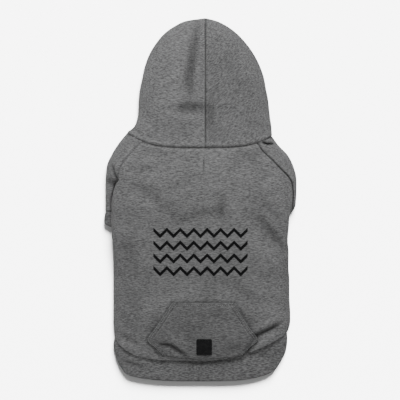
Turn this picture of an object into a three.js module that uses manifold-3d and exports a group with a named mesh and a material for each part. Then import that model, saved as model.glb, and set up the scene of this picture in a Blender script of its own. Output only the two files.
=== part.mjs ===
// Dog hoodie lying flat on its belly side: back upward, hood towards +Y, floor at z = 0.
// Units are millimetres and +Z is up.

import * as THREE from "three";
import { mergeVertices } from "three/addons/utils/BufferGeometryUtils.js";
import Module from "manifold-3d";

// Body
const backLength = 349; // neck seam to lower edge, along the middle
const bodyWidth = 262; // across the flat body below the sleeves
const neckWidth = 214; // across the folded neck seam
const neckRise = 22; // how far the neck seam climbs towards its folded ends
const chestLoft = 26; // height of the back over the floor at the chest
const waistLoft = 20; // the same over the belly
const sideRoll = 5; // radius of the rolled side folds
const bodyRoll = 8; // softer radius on top of the body's side folds
const sideSeamPlace = 0.78; // of the side seams under the body, as a share of its half width
const sagWidth = 0.5; // half width of the belly's sag, as a share of the body's
const sagDepth = 0.6; // of the belly's sag, as a share of the sleeves' height under it

// Sleeves and cuffs
const sleeveShow = 13; // how far the folded sleeves stand out past the body's sides
const sleeveWidth = 58; // flat width of a sleeve
const sleeveLeftLength = 40; // armhole to cuff, left
const sleeveRightLength = 18; // armhole to cuff, right, which is tucked in shorter
const cuffHeight = 23;
const cuffWidth = 63; // flat width of a cuff

// Hood
const hoodHeight = 193.5; // neck seam to crown
const hoodWidth = 197;
const hoodLoft = 24;
const hoodRoll = 6.5; // radius on top of the hood's side folds
const hoodSeamOffset = 7.5; // the centre seam lies this far to the right of the middle

// Hem band
const bandHeight = 37; // along the middle
const bandLoft = 12;
const hemRise = 31; // how far the band's seam climbs towards the sides
const bodyOverhang = 4; // how far the back blouses over the band

// Pocket, label, print and leash slit
const pocketTopWidth = 91;
const pocketOffset = 3; // to the right of the middle
const pocketWidth = 165; // across its two side corners
const pocketBottomWidth = 122;
const pocketSlant = 56; // height of the slanted hand openings
const pocketHeight = 83; // upper edge to the lowest point of the lower edge
const pocketHem = 2; // the pocket ends this far above the back's lower edge
const pocketBelly = 6; // how far its lower edge hangs down between the corners
const pocketPuff = 2; // how far the pouch stands off the back
const labelWidth = 23;
const labelHeight = 24.5;
const labelThickness = 0.8;
const labelClearance = 4.75; // from its lower edge to the pocket's lowest point
const labelOffset = 5.5; // to the right of the middle
const zigzagDrop = 126.6; // neck seam to the first row's middle
const zigzagSpacing = 19;
const zigzagCount = 4;
const zigzagPitch = 20;
const zigzagPeriods = 7;
const zigzagRise = 10;
const zigzagStroke = 3;
const printThickness = 0.4;
const slitLength = 26;
const slitWidth = 2.6;
const slitDrop = 24; // neck seam to the slit's middle
const slitOffset = 5; // to the right of the middle

// Cloth
const wall = 2;
const ribWall = 2.5;
const seamGap = 0.6; // between two pieces that are sewn edge to edge
const layerGap = 0.3; // between two layers that lie on each other
const drapeGap = 0.8; // under a piece that follows the faceted back

const bodyHalf = bodyWidth / 2;
const neckHalf = neckWidth / 2;
const hoodHalf = hoodWidth / 2;
const panelLength = backLength - bandHeight;
const neckY = backLength - (backLength + hoodHeight) / 2;
const rollHeight = 2 * sideRoll; // height of a flattened sleeve
const lapHeight = rollHeight + layerGap; // the body lies this high over the sleeves
const bandRoll = bandLoft / 2;
const pocketEnd = panelLength + bodyOverhang - pocketHem; // neck seam to its lowest point
const pocketDrop = pocketEnd - pocketHeight; // neck seam to the pocket's upper edge
const pocketLower = pocketHeight - pocketBelly - pocketSlant; // side corners to lower corners
const labelDrop = pocketEnd - labelClearance - labelHeight / 2; // neck seam to the label's middle
const LEFT = -1;
const RIGHT = 1;
const hemBow = { [LEFT]: 5, [RIGHT]: 2.6 }; // how late the lower seam climbs, as an exponent

// Rows of the body, from the neck seam down to the hem band.
// down: share of the panel's length. neck, hem: shares of neckRise and hemRise at the side.
// loft: share of the way from waistLoft to chestLoft. lap: share of lapHeight under the belly.
const bodyRows = [
  { down: 0, neck: 1, hem: 0, loft: 0.85, lap: 1 },
  { down: 0.031, neck: 0.77, hem: 0, loft: 0.95, lap: 1 },
  { down: 0.069, neck: 0.55, hem: 0, loft: 1, lap: 1 },
  { down: 0.114, neck: 0.36, hem: 0, loft: 1, lap: 1 },
  { down: 0.153, neck: 0.18, hem: 0, loft: 1, lap: 1 },
  { down: 0.178, neck: 0.1, hem: 0, loft: 1, lap: 1 },
  { down: 0.223, neck: 0.03, hem: 0, loft: 1, lap: 1 },
  { down: 0.274, neck: 0, hem: 0, loft: 1, lap: 1 },
  { down: 0.3, neck: 0, hem: 0, loft: 0.95, lap: 1 },
  { down: 0.322, neck: 0, hem: 0, loft: 0.9, lap: 1 },
  { down: 0.377, neck: 0, hem: 0, loft: 0.85, lap: 1 },
  { down: 0.441, neck: 0, hem: 0, loft: 0.75, lap: 1 },
  { down: 0.505, neck: 0, hem: 0, loft: 0.6, lap: 0.7 },
  { down: 0.569, neck: 0, hem: 0, loft: 0.4, lap: 0.3 },
  { down: 0.633, neck: 0, hem: 0, loft: 0.2, lap: 0 },
  { down: 0.697, neck: 0, hem: 0, loft: 0.1, lap: 0 },
  { down: 0.755, neck: 0, hem: 0, loft: 0, lap: 0 },
  { down: 0.813, neck: 0, hem: 0.13, loft: 0, lap: 0 },
  { down: 0.862, neck: 0, hem: 0.3, loft: -0.05, lap: 0 },
  { down: 0.907, neck: 0, hem: 0.52, loft: -0.1, lap: 0 },
  { down: 0.955, neck: 0, hem: 0.76, loft: -0.3, lap: 0 },
  { down: 1, neck: 0, hem: 1, loft: -0.6, lap: 0 },
];

// The body's two sides beside those rows.
// fold: the side fold on the across() scale. level: share of lapHeight by which it lies over the floor.
// seam: the raglan seam on the across() scale, null where the back has wrapped round its fold, and
// "fold" where it ends on the fold.
const bodySides = {
  [LEFT]: [
    { fold: 0.08, level: 1, seam: -0.196 },
    { fold: 0.6, level: 0.65, seam: -0.084 },
    { fold: 1.11, level: 0.4, seam: 0.083 },
    { fold: 1.6, level: 0.3, seam: 0.54 },
    { fold: 0.95, level: 0.6, seam: 0.69 },
    { fold: 0.8, level: 1, seam: null },
    { fold: 0.98, level: 1, seam: null },
    { fold: 1.15, level: 1, seam: null },
    { fold: 1.15, level: 1, seam: null },
    { fold: 1.15, level: 1, seam: null },
    { fold: 1.15, level: 1, seam: null },
    { fold: 1.08, level: 1, seam: null },
    { fold: 0.98, level: 0.7, seam: null },
    { fold: 0.98, level: 0.3, seam: null },
    { fold: 0.98, level: 0, seam: null },
    { fold: 0.98, level: 0, seam: null },
    { fold: 0.98, level: 0, seam: null },
    { fold: 0.98, level: 0, seam: null },
    { fold: 0.98, level: 0, seam: null },
    { fold: 0.96, level: 0, seam: null },
    { fold: 0.94, level: 0, seam: null },
    { fold: 0.92, level: 0, seam: null },
  ],
  [RIGHT]: [
    { fold: 0, level: 1, seam: -0.21 },
    { fold: 0.29, level: 0.65, seam: -0.14 },
    { fold: 0.94, level: 0.4, seam: -0.009 },
    { fold: 1.61, level: 0.2, seam: 0.54 },
    { fold: 1.96, level: 0.1, seam: 1.115 },
    { fold: 2, level: 0.1, seam: 1.48 },
    { fold: 2, level: 0.1, seam: 1.6 },
    { fold: 1.9, level: 0.25, seam: 1.54 },
    { fold: 1.4, level: 0.65, seam: "fold" },
    { fold: 1.15, level: 1, seam: null },
    { fold: 1.08, level: 1, seam: null },
    { fold: 0.98, level: 1, seam: null },
    { fold: 1.08, level: 0.7, seam: null },
    { fold: 1.08, level: 0.3, seam: null },
    { fold: 1.19, level: 0, seam: null },
    { fold: 1.19, level: 0, seam: null },
    { fold: 1.25, level: 0, seam: null },
    { fold: 1.3, level: 0, seam: null },
    { fold: 1.3, level: 0, seam: null },
    { fold: 1.27, level: 0, seam: null },
    { fold: 1.19, level: 0, seam: null },
    { fold: 1.08, level: 0, seam: null },
  ],
};

// Rows of the sleeves beside the body's rows, down to the armhole's lower end.
// tip: outer fold on the across() scale. flat: share of sleeveWidth folded under.
const sleeveTops = {
  [LEFT]: [
    { tip: 0.08, flat: 0.19 },
    { tip: 0.6, flat: 0.42 },
    { tip: 1.11, flat: 0.68 },
    { tip: 1.73, flat: 0.88 },
    { tip: 1.85, flat: 0.97 },
    { tip: 1.88, flat: 1 },
  ],
  [RIGHT]: [
    { tip: 0, flat: 0.19 },
    { tip: 0.29, flat: 0.36 },
    { tip: 0.94, flat: 0.6 },
    { tip: 1.61, flat: 0.82 },
    { tip: 1.96, flat: 0.93 },
    { tip: 2, flat: 0.97 },
    { tip: 2, flat: 1 },
    { tip: 1.9, flat: 1 },
    { tip: 1.6, flat: 1 },
    { tip: 1.23, flat: 1 },
  ],
};

// Rows of the free sleeve and of the cuff below it.
// along: share of the sleeve's length. inward: share of sleeveWidth. turn: degrees.
const sleeveEnds = {
  [LEFT]: [
    { along: 0.5, inward: 0, turn: 0 },
    { along: 1, inward: 0, turn: 0 },
  ],
  [RIGHT]: [
    { along: 0.5, inward: 0.1, turn: 10 },
    { along: 1, inward: 0.22, turn: 17 },
  ],
};

// Rows of each hood half, from the neck seam to the crown.
// spine: where the row leaves the centre seam. left, right: the side fold, as shares of hoodWidth / 2.
// up: height of the fold. bend: how long the row stays level. under: share of lapHeight below the
// flap. flap: share of the row's width that is turned under to the edge of the face opening.
const hoodRows = [
  { spine: 0, left: 0, right: 0, up: 0, bend: 4, under: 1, flap: 0.93 },
  { spine: 0.08, left: 0.995, right: 1.066, up: 0.167, bend: 3, under: 0.55, flap: 0.8 },
  { spine: 0.17, left: 0.949, right: 1.05, up: 0.229, bend: 2.4, under: 0.2, flap: 0.68 },
  { spine: 0.27, left: 0.934, right: 1.035, up: 0.301, bend: 2, under: 0, flap: 0.6 },
  { spine: 0.36, left: 0.929, right: 1.02, up: 0.373, bend: 1.4, under: 0, flap: 0.55 },
  { spine: 0.45, left: 0.914, right: 0.99, up: 0.451, bend: 1, under: 0, flap: 0.52 },
  { spine: 0.45, left: 0.878, right: 0.959, up: 0.539, bend: 1, under: 0, flap: 0.5 },
  { spine: 0.45, left: 0.838, right: 0.898, up: 0.632, bend: 1, under: 0, flap: 0.46 },
  { spine: 0.45, left: 0.772, right: 0.807, up: 0.725, bend: 1, under: 0, flap: 0.41 },
  { spine: 0.45, left: 0.68, right: 0.7, up: 0.802, bend: 1, under: 0, flap: 0.36 },
  { spine: 0.45, left: 0.558, right: 0.563, up: 0.877, bend: 1, under: 0, flap: 0.3 },
  { spine: 0.45, left: 0.406, right: 0.416, up: 0.934, bend: 1, under: 0, flap: 0.24 },
  { spine: 0.45, left: 0.223, right: 0.245, up: 0.978, bend: 1, under: 0, flap: 0.18 },
  { spine: 0.45, left: null, right: null, up: 1, bend: 1, under: 0, flap: 0.14 },
];

// Rows of the hem band. down: share of bandHeight. rise: share of hemRise.
const bandRows = [
  { down: 0.02, rise: 1 },
  { down: 0.25, rise: 0.85 },
  { down: 0.5, rise: 0.68 },
  { down: 0.75, rise: 0.48 },
  { down: 1, rise: 0.29 },
];

// The band's two sides beside those rows.
// fold: the side fold as a share of bodyWidth / 2. bow: how late the row climbs, as an exponent.
const bandSides = {
  [LEFT]: [
    { fold: 0.955, bow: hemBow[LEFT] },
    { fold: 0.992, bow: 5 },
    { fold: 0.977, bow: 5.5 },
    { fold: 0.925, bow: 6 },
    { fold: 0.85, bow: 6 },
  ],
  [RIGHT]: [
    { fold: 0.975, bow: hemBow[RIGHT] },
    { fold: 0.985, bow: 3 },
    { fold: 0.962, bow: 4 },
    { fold: 0.905, bow: 5 },
    { fold: 0.825, bow: 6 },
  ],
};

// Rows of the pocket, from its upper edge. slant, lower: shares of the slanted and of the lower part
// that lie above the row. puff: share of pocketPuff. hang: share of pocketBelly.
const pocketRows = [
  { slant: 0, lower: 0, puff: 0, hang: 0 },
  { slant: 0.34, lower: 0, puff: 0.6, hang: 0 },
  { slant: 0.68, lower: 0, puff: 1, hang: 0 },
  { slant: 1, lower: 0, puff: 1, hang: 0.3 },
  { slant: 1, lower: 0.5, puff: 0.6, hang: 0.7 },
  { slant: 1, lower: 1, puff: 0, hang: 1 },
];

// Soft dents on top. x: shares of the half width. y: shares of the length from the neck seam.
// wide and deep: shares of the half width and of the loft; a negative depth is a ridge.
const bodyDents = [
  { x: [-0.63, -0.31], y: [0.18, 0.3], wide: 0.15, deep: 0.1 },
  { x: [0.687, 0.97], y: [0.309, 0.438], wide: 0.15, deep: 0.12 },
  { x: [0.57, 0.885], y: [0.395, 0.524], wide: 0.14, deep: -0.06 },
  { x: [0.34, 0.77], y: [0.567, 0.684], wide: 0.16, deep: 0.1 },
  { x: [0.23, 0.27], y: [0.2, 0.343], wide: 0.14, deep: 0.07 },
  { x: [0.885, 0.63], y: [0.76, 0.806], wide: 0.12, deep: 0.16 },
];
const hoodDents = [
  { x: [-0.04, -0.13], y: [0.952, 0.43], wide: 0.18, deep: 0.14 },
  { x: [-0.3, 0.06], y: [0.32, 0.33], wide: 0.16, deep: 0.12 },
  { x: [0.15, 0.15], y: [0.296, 0.14], wide: 0.16, deep: 0.09 },
];

// Distance from the middle: 0 is the neck's fold, 1 the body's side fold, 2 the sleeve's outer fold.
function across(station) {
  if (station <= 0) {
    return neckHalf * (1 + station);
  }
  if (station <= 1) {
    return neckHalf + (bodyHalf - neckHalf) * station;
  }
  return bodyHalf + sleeveShow * (station - 1);
}

function mix(from, to, share) {
  return from + (to - from) * share;
}

// How far a point of the top surface is pressed down by the dents near it.
function pressed(dents, x, y, halfWidth, length, loft) {
  let depth = 0;
  for (const dent of dents) {
    const start = new THREE.Vector2(dent.x[0] * halfWidth, dent.y[0] * length);
    const run = new THREE.Vector2(dent.x[1] * halfWidth, dent.y[1] * length).sub(start);
    const point = new THREE.Vector2(x, y).sub(start);
    const share = THREE.MathUtils.clamp(point.dot(run) / run.lengthSq(), 0, 1);
    const reach = point.sub(run.multiplyScalar(share)).length() / (dent.wide * halfWidth);
    depth += dent.deep * loft * Math.max(0, 1 - reach * reach) ** 2;
  }
  return depth;
}

// Upper half of a section: flat in the middle and rounded down to the fold, as [distance, z] pairs.
function crownedTop(from, width, level, rise, radius) {
  const power = Math.max(2.4, (2 * width * radius) / rise ** 2);
  const steps = 48;
  const points = [];
  for (let step = 0; step <= steps; step += 1) {
    const angle = (step / steps) * (Math.PI / 2);
    points.push([from + width * Math.sin(angle) ** (2 / power), level + rise * Math.cos(angle)]);
  }
  return points;
}

// Arc of a section about a centre, from one angle to another in degrees.
function arc(centre, level, radius, from, to) {
  const steps = 16;
  const points = [];
  for (let step = 1; step <= steps; step += 1) {
    const angle = THREE.MathUtils.degToRad(mix(from, to, step / steps));
    points.push([centre + radius * Math.cos(angle), level + radius * Math.sin(angle)]);
  }
  return points;
}

// A section line that can be walked by its length. Its outer side lies to the left of the walk.
class Track {
  constructor(points) {
    this.points = points;
    this.lengths = [0];
    for (let i = 1; i < points.length; i += 1) {
      const step = Math.hypot(points[i][0] - points[i - 1][0], points[i][1] - points[i - 1][1]);
      this.lengths.push(this.lengths[i - 1] + step);
    }
    this.length = this.lengths[this.lengths.length - 1];
  }

  spot(length) {
    const walked = THREE.MathUtils.clamp(length, 0, this.length);
    let i = 1;
    while (i < this.lengths.length - 1 && this.lengths[i] < walked) {
      i += 1;
    }
    const share = (walked - this.lengths[i - 1]) / (this.lengths[i] - this.lengths[i - 1] || 1);
    const [before, after] = [this.points[i - 1], this.points[i]];
    return [mix(before[0], after[0], share), mix(before[1], after[1], share)];
  }

  // Outer point and, one wall further in, inner point.
  pair(length, thickness) {
    const reach = 0.5;
    const [d, z] = this.spot(length);
    const before = this.spot(length - reach);
    const after = this.spot(length + reach);
    const run = Math.hypot(after[0] - before[0], after[1] - before[1]);
    const out = [-(after[1] - before[1]) / run, (after[0] - before[0]) / run];
    return { outer: [d, z], inner: [d - thickness * out[0], z - thickness * out[1]] };
  }
}

// Lengths that cut consecutive stretches into equal steps: [end of the stretch, number of steps].
function stations(stretches) {
  const lengths = [0];
  let start = 0;
  for (const [end, count] of stretches) {
    for (let step = 1; step <= count; step += 1) {
      lengths.push(mix(start, end, step / count));
    }
    start = end;
  }
  return lengths;
}

// One row of cloth: each station's outer and inner point, put in space by place(d, z, lowered).
function clothRow(track, lengths, thickness, place, lowering = () => 0) {
  return lengths.map((length) => {
    const { outer, inner } = track.pair(length, thickness);
    const lowered = lowering(...outer);
    return { outer: place(...outer, lowered), inner: place(...inner, lowered) };
  });
}

// Closed solid of a cloth grid. Its rows run down and their points run right, seen from outside.
// Every free edge is drawn back by half a seam gap, which keeps sewn neighbours apart.
function clothSolid(rows, { closed = false, flipped = false } = {}) {
  const found = new Map();
  const outer = [];
  const inner = [];
  const vertexOf = (pair) => {
    const key = pair.outer.toArray().map((value) => Math.round(value * 100)).join();
    if (!found.has(key)) {
      found.set(key, outer.length);
      outer.push(pair.outer.clone());
      inner.push(pair.inner.clone());
    }
    return found.get(key);
  };
  const grid = rows.map((row) => (flipped ? [...row].reverse() : row).map(vertexOf));
  const faces = [];
  const addFace = (a, b, c) => {
    if (a !== b && b !== c && a !== c) {
      faces.push([a, b, c]);
    }
  };
  for (let r = 0; r + 1 < grid.length; r += 1) {
    const columns = closed ? grid[r].length : grid[r].length - 1;
    for (let c = 0; c < columns; c += 1) {
      const next = (c + 1) % grid[r].length;
      addFace(grid[r][c], grid[r + 1][c], grid[r + 1][next]);
      addFace(grid[r][c], grid[r + 1][next], grid[r][next]);
    }
  }
  const edges = freeEdges(faces);
  drawBack(outer, inner, faces, edges);
  const count = outer.length;
  const triangles = [];
  for (const [a, b, c] of faces) {
    triangles.push(a, b, c, count + a, count + c, count + b);
  }
  for (const { a, b } of edges) {
    triangles.push(b, a, count + a, b, count + a, count + b);
  }
  const geometry = new THREE.BufferGeometry();
  const positions = [...outer, ...inner].flatMap((point) => point.toArray());
  geometry.setAttribute("position", new THREE.Float32BufferAttribute(positions, 3));
  geometry.setIndex(triangles);
  return geometry;
}

// Edges that only one face uses, each with that face.
function freeEdges(faces) {
  const used = new Set(faces.flatMap(([a, b, c]) => [`${a},${b}`, `${b},${c}`, `${c},${a}`]));
  const edges = [];
  for (const face of faces) {
    for (let i = 0; i < 3; i += 1) {
      const [a, b] = [face[i], face[(i + 1) % 3]];
      if (!used.has(`${b},${a}`)) {
        edges.push({ a, b, face });
      }
    }
  }
  return edges;
}

function drawBack(outer, inner, faces, edges) {
  const shifts = new Map();
  for (const { a, b, face } of edges) {
    const corners = face.map((vertex) => outer[vertex]);
    const normal = new THREE.Triangle(...corners).getNormal(new THREE.Vector3());
    const along = outer[b].clone().sub(outer[a]).normalize();
    const inward = normal.cross(along);
    for (const vertex of [a, b]) {
      const shift = shifts.get(vertex) ?? new THREE.Vector3();
      shifts.set(vertex, shift.add(inward));
    }
  }
  for (const [vertex, shift] of shifts) {
    shift.setLength(seamGap / 2);
    outer[vertex].add(shift);
    inner[vertex].add(shift);
  }
}

function armholeRow(side) {
  return sleeveTops[side].length - 1;
}

function sleeveTip(side, index) {
  return across(sleeveTops[side][index].tip);
}

// Inner fold of the sleeve under the chest.
function sleeveTuck(side, index) {
  return sleeveTip(side, index) - sleeveTops[side][index].flat * sleeveWidth;
}

// Seam between the sleeve's upper layer and the belly panel, halfway over the folded sleeve.
function frontSeam(side, index) {
  return (sleeveTip(side, index) + sleeveTuck(side, index)) / 2;
}

// Seam between the back and the belly panel, which eases inwards below the armhole.
function sideSeam(side, index) {
  const easedRows = 4;
  const share = Math.min(1, (index - armholeRow(side)) / easedRows);
  return mix(frontSeam(side, armholeRow(side)), sideSeamPlace * bodyHalf, share);
}

function foldOf(side, index) {
  return across(bodySides[side][index].fold);
}

// Height of a body row at a distance from the middle.
function rowY(side, index, distance) {
  const row = bodyRows[index];
  const width = index <= armholeRow(side) ? sleeveTip(side, index) : foldOf(side, index);
  const neckBow = 4;
  const share = Math.abs(distance) / width;
  const rise = neckRise * row.neck * share ** neckBow + hemRise * row.hem * share ** hemBow[side];
  return neckY - row.down * panelLength + rise;
}

function foldLevel(side, index) {
  return sideRoll + lapHeight * bodySides[side][index].level;
}

function topOf(index) {
  return mix(waistLoft, chestLoft, bodyRows[index].loft);
}

function bodyCrown(side, index) {
  const level = foldLevel(side, index);
  const radius = index === 0 ? sideRoll : bodyRoll;
  return crownedTop(0, foldOf(side, index), level, topOf(index) - level, radius);
}

// Share of the way up from a fold's level to the top of its row.
function topness(z, level, top) {
  return Math.max(0, (z - level) / (top - level));
}

// One half of a row of the back panel, from the middle to its free edge.
function backHalfRow(side, index) {
  const crown = bodyCrown(side, index);
  const fold = foldOf(side, index);
  const level = foldLevel(side, index);
  const { seam } = bodySides[side][index];
  const points = [...crown];
  if (seam === null) {
    points.push(...arc(fold - sideRoll, level, sideRoll, 0, -90));
    points.push([sideSeam(side, index), level - sideRoll]);
  }
  const track = new Track(points);
  const lengthAt = (distance) => {
    const i = crown.findIndex(([d]) => d >= distance);
    return track.lengths[i];
  };
  let end = track.length;
  if (typeof seam === "number") {
    end = lengthAt(across(seam));
  }
  const quarterRound = (sideRoll * Math.PI) / 2;
  const latestStart = 0.74;
  const latestEnd = 0.87;
  const foldStart = Math.min(lengthAt(fold - 2 * sideRoll), latestStart * end);
  const foldEnd = Math.min(track.lengths[crown.length - 1] + quarterRound, latestEnd * end);
  const lengths = stations([[foldStart, 7], [foldEnd, 5], [end, 2]]);
  const last = index === bodyRows.length - 1;
  const place = (d, z, lowered) => {
    const overhang = last ? bodyOverhang * topness(z, level, topOf(index)) : 0;
    return new THREE.Vector3(side * d, rowY(side, index, d) - overhang, z - lowered);
  };
  const lowering = (d, z) => {
    const down = neckY - rowY(side, index, d);
    const dented = pressed(bodyDents, side * d, down, bodyHalf, backLength, chestLoft);
    return topness(z, level, topOf(index)) * dented;
  };
  return clothRow(track, lengths, wall, place, lowering);
}

function backPanel() {
  const rows = bodyRows.map((row, index) => {
    const left = backHalfRow(LEFT, index).slice(1).reverse();
    return [...left, ...backHalfRow(RIGHT, index)];
  });
  return clothSolid(rows);
}

// The belly sags to the floor between the folded sleeves.
function bellySag(index, x) {
  const share = Math.min(1, Math.abs(x) / (sagWidth * bodyHalf));
  return sagDepth * lapHeight * bodyRows[index].lap * (1 - share * share) ** 2;
}

function bellyPanel() {
  const columns = [-1, -0.8, -0.6, -0.4, -0.2, 0, 0.2, 0.4, 0.6, 0.8, 1];
  const rows = bodyRows.map((row, index) => columns.map((column) => {
    const side = column < 0 ? LEFT : RIGHT;
    const edge = index < armholeRow(side) ? frontSeam(side, index) : sideSeam(side, index);
    const x = column * edge;
    const y = rowY(side, index, x);
    const z = lapHeight * row.lap - bellySag(index, x);
    return { outer: new THREE.Vector3(x, y, z), inner: new THREE.Vector3(x, y, z + wall) };
  }));
  return clothSolid(rows, { flipped: true });
}

// Section of a sleeve from its upper seam round the outer fold, along the floor and back.
function sleeveTrack(seam, seamZ, tip, tuck, frontEdge) {
  const top = crownedTop(seam, tip - seam, sideRoll, seamZ - sideRoll, sideRoll);
  const outside = arc(tip - sideRoll, sideRoll, sideRoll, 0, -90);
  const inside = arc(tuck + sideRoll, sideRoll, sideRoll, -90, -270);
  const floorEnd = [tuck + sideRoll, 0];
  const track = new Track([...top, ...outside, floorEnd, ...inside, [frontEdge, rollHeight]]);
  const topEnd = top.length - 1;
  const outsideEnd = topEnd + outside.length;
  const marks = [topEnd, outsideEnd, outsideEnd + 1, outsideEnd + 1 + inside.length];
  const [a, b, c, d] = marks.map((mark) => track.lengths[mark]);
  return { track, lengths: stations([[a, 5], [b, 3], [c, 3], [d, 4], [track.length, 2]]) };
}

// Where the back panel's free edge lies on a row of the armhole: distance and height.
function raglanPoint(side, index) {
  const { seam } = bodySides[side][index];
  if (seam === null) {
    return [sideSeam(side, index), rollHeight];
  }
  if (seam === "fold") {
    return [foldOf(side, index), foldLevel(side, index) - layerGap];
  }
  const crown = bodyCrown(side, index);
  return crown.find(([d]) => d >= across(seam));
}

function sleeve(side) {
  const rows = [];
  for (let index = 0; index <= armholeRow(side); index += 1) {
    const [seam, seamZ] = raglanPoint(side, index);
    const tip = sleeveTip(side, index);
    const tuck = sleeveTuck(side, index);
    const front = Math.max(frontSeam(side, index), tuck + sideRoll + seamGap);
    const { track, lengths } = sleeveTrack(seam, seamZ, tip, tuck, front);
    const place = (d, z) => new THREE.Vector3(side * d, rowY(side, index, d), z);
    rows.push(clothRow(track, lengths, wall, place));
  }
  for (const end of sleeveEnds[side]) {
    const middle = -sleeveWidth / 2;
    const { track, lengths } = sleeveTrack(middle, rollHeight, 0, -sleeveWidth, middle);
    rows.push(clothRow(track, lengths, wall, sleeveEndPlace(side, end)));
  }
  return clothSolid(rows, { flipped: side === LEFT });
}

// Puts a sleeve section, measured inward from its outer fold, at one place along the free sleeve.
function sleeveEndPlace(side, end, beyond = 0) {
  const length = side === LEFT ? sleeveLeftLength : sleeveRightLength;
  const armhole = armholeRow(side);
  const turn = THREE.MathUtils.degToRad(end.turn);
  const tipX = sleeveTip(side, armhole) - end.inward * sleeveWidth - beyond * Math.sin(turn);
  const tipY = rowY(side, armhole, 0) - end.along * length - beyond * Math.cos(turn);
  return (d, z) => new THREE.Vector3(side * (tipX + d * Math.cos(turn)), tipY - d * Math.sin(turn), z);
}

function cuff(side) {
  const end = sleeveEnds[side][sleeveEnds[side].length - 1];
  const proud = (cuffWidth - sleeveWidth) / 2;
  const [tip, tuck] = [proud, proud - cuffWidth];
  const middle = (tip + tuck) / 2;
  const { track, lengths } = sleeveTrack(middle, rollHeight, tip, tuck, middle);
  const rows = [0, 0.5, 1].map((share) => {
    const place = sleeveEndPlace(side, end, share * cuffHeight);
    return clothRow(track, lengths.slice(0, -1), ribWall, place);
  });
  return clothSolid(rows, { closed: true, flipped: side === LEFT });
}

// Plan of a hood row: where it leaves the centre seam and where its side fold lies.
function hoodEnds(side, row) {
  const spine = new THREE.Vector2(hoodSeamOffset, neckY + row.spine * hoodHeight);
  const share = side === LEFT ? row.left : row.right;
  const x = share === null ? hoodSeamOffset : side * share * hoodHalf;
  return { spine, fold: new THREE.Vector2(x, neckY + row.up * hoodHeight) };
}

// First row of a hood half, which follows the neck seam and the section of the back there.
function hoodNeckRow(side) {
  const start = side * hoodSeamOffset;
  const fold = foldOf(side, 0);
  const level = foldLevel(side, 0);
  const crown = bodyCrown(side, 0).filter(([d]) => d > Math.abs(start));
  const under = fold - hoodRows[0].flap * (fold - start);
  const turned = arc(fold - sideRoll, level, sideRoll, 0, -90);
  const track = new Track([[start, crown[0][1]], ...crown, ...turned, [under, lapHeight]]);
  const lengths = hoodStations(track, crown.length, turned.length);
  const place = (d, z) => {
    const x = side * d;
    const sag = z < level ? bellySag(0, x) : 0;
    return new THREE.Vector3(x, rowY(side, 0, d), z - sag);
  };
  return clothRow(track, lengths, wall, place);
}

function hoodStations(track, crownCount, turnedCount) {
  const foldEnd = track.lengths[crownCount + turnedCount];
  const foldStart = track.lengths[crownCount] - 2 * sideRoll;
  return stations([[foldStart, 6], [foldEnd, 5], [track.length, 3]]);
}

function hoodRow(side, row) {
  if (row.spine === 0) {
    return hoodNeckRow(side);
  }
  const { spine, fold } = hoodEnds(side, row);
  const width = spine.distanceTo(fold);
  const level = sideRoll + row.under * lapHeight;
  const crown = crownedTop(0, width, level, hoodLoft - level, hoodRoll);
  const turned = arc(width - sideRoll, level, sideRoll, 0, -90);
  const edge = [width * (1 - row.flap), level - sideRoll];
  const track = new Track([...crown, ...turned, edge]);
  const lengths = hoodStations(track, crown.length - 1, turned.length);
  const place = (d, z, lowered) => {
    const share = d / width;
    const y = mix(spine.y, fold.y, Math.max(0, share) ** row.bend);
    return new THREE.Vector3(mix(spine.x, fold.x, share), y, z - lowered);
  };
  const lowering = (d, z) => {
    const point = place(d, z, 0);
    const up = point.y - neckY;
    const dented = pressed(hoodDents, point.x, up, hoodHalf, hoodHeight, hoodLoft);
    return topness(z, level, hoodLoft) * dented;
  };
  return clothRow(track, lengths, wall, place, lowering);
}

function hoodHalfPanel(side) {
  return clothSolid(hoodRows.map((row) => hoodRow(side, row)), { flipped: side === RIGHT });
}

// One half of a row of the hem band, from the middle of the top round to the middle of the bottom.
function bandHalfRow(side, index) {
  const row = bandRows[index];
  const { fold, bow } = bandSides[side][index];
  const width = fold * bodyHalf;
  const top = crownedTop(0, width, bandRoll, bandLoft - bandRoll, bandRoll);
  const turned = arc(width - bandRoll, bandRoll, bandRoll, 0, -90);
  const track = new Track([...top, ...turned, [0, 0]]);
  const tip = track.lengths[top.length - 1];
  const quarter = (bandRoll * Math.PI) / 2;
  const lengths = stations([[tip - quarter, 7], [tip + quarter, 6], [track.length, 7]]);
  const place = (d, z) => {
    const share = Math.abs(d) / foldOf(side, bodyRows.length - 1);
    const y = neckY - panelLength - row.down * bandHeight + row.rise * hemRise * share ** bow;
    return new THREE.Vector3(side * d, y, z);
  };
  return clothRow(track, lengths, ribWall, place);
}

function hemBand() {
  const rows = bandRows.map((row, index) => {
    const left = bandHalfRow(LEFT, index).slice(1, -1).reverse();
    return [...bandHalfRow(RIGHT, index), ...left];
  });
  return clothSolid(rows, { closed: true });
}

// Height of a solid's upper side over a point of the plan.
function heightOn(geometry, x, y) {
  const position = geometry.getAttribute("position");
  const index = geometry.getIndex();
  const corners = [new THREE.Vector3(), new THREE.Vector3(), new THREE.Vector3()];
  const weights = new THREE.Vector3();
  let height = -Infinity;
  for (let i = 0; i < index.count; i += 3) {
    corners.forEach((corner, k) => corner.fromBufferAttribute(position, index.getX(i + k)));
    const heights = corners.map((corner) => corner.z);
    const flat = corners.map((corner) => new THREE.Vector3(corner.x, corner.y, 0));
    const triangle = new THREE.Triangle(...flat);
    const point = new THREE.Vector3(x, y, 0);
    if (triangle.getArea() > 0 && triangle.containsPoint(point)) {
      triangle.getBarycoord(point, weights);
      const found = weights.x * heights[0] + weights.y * heights[1] + weights.z * heights[2];
      height = Math.max(height, found);
    }
  }
  return height;
}

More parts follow.
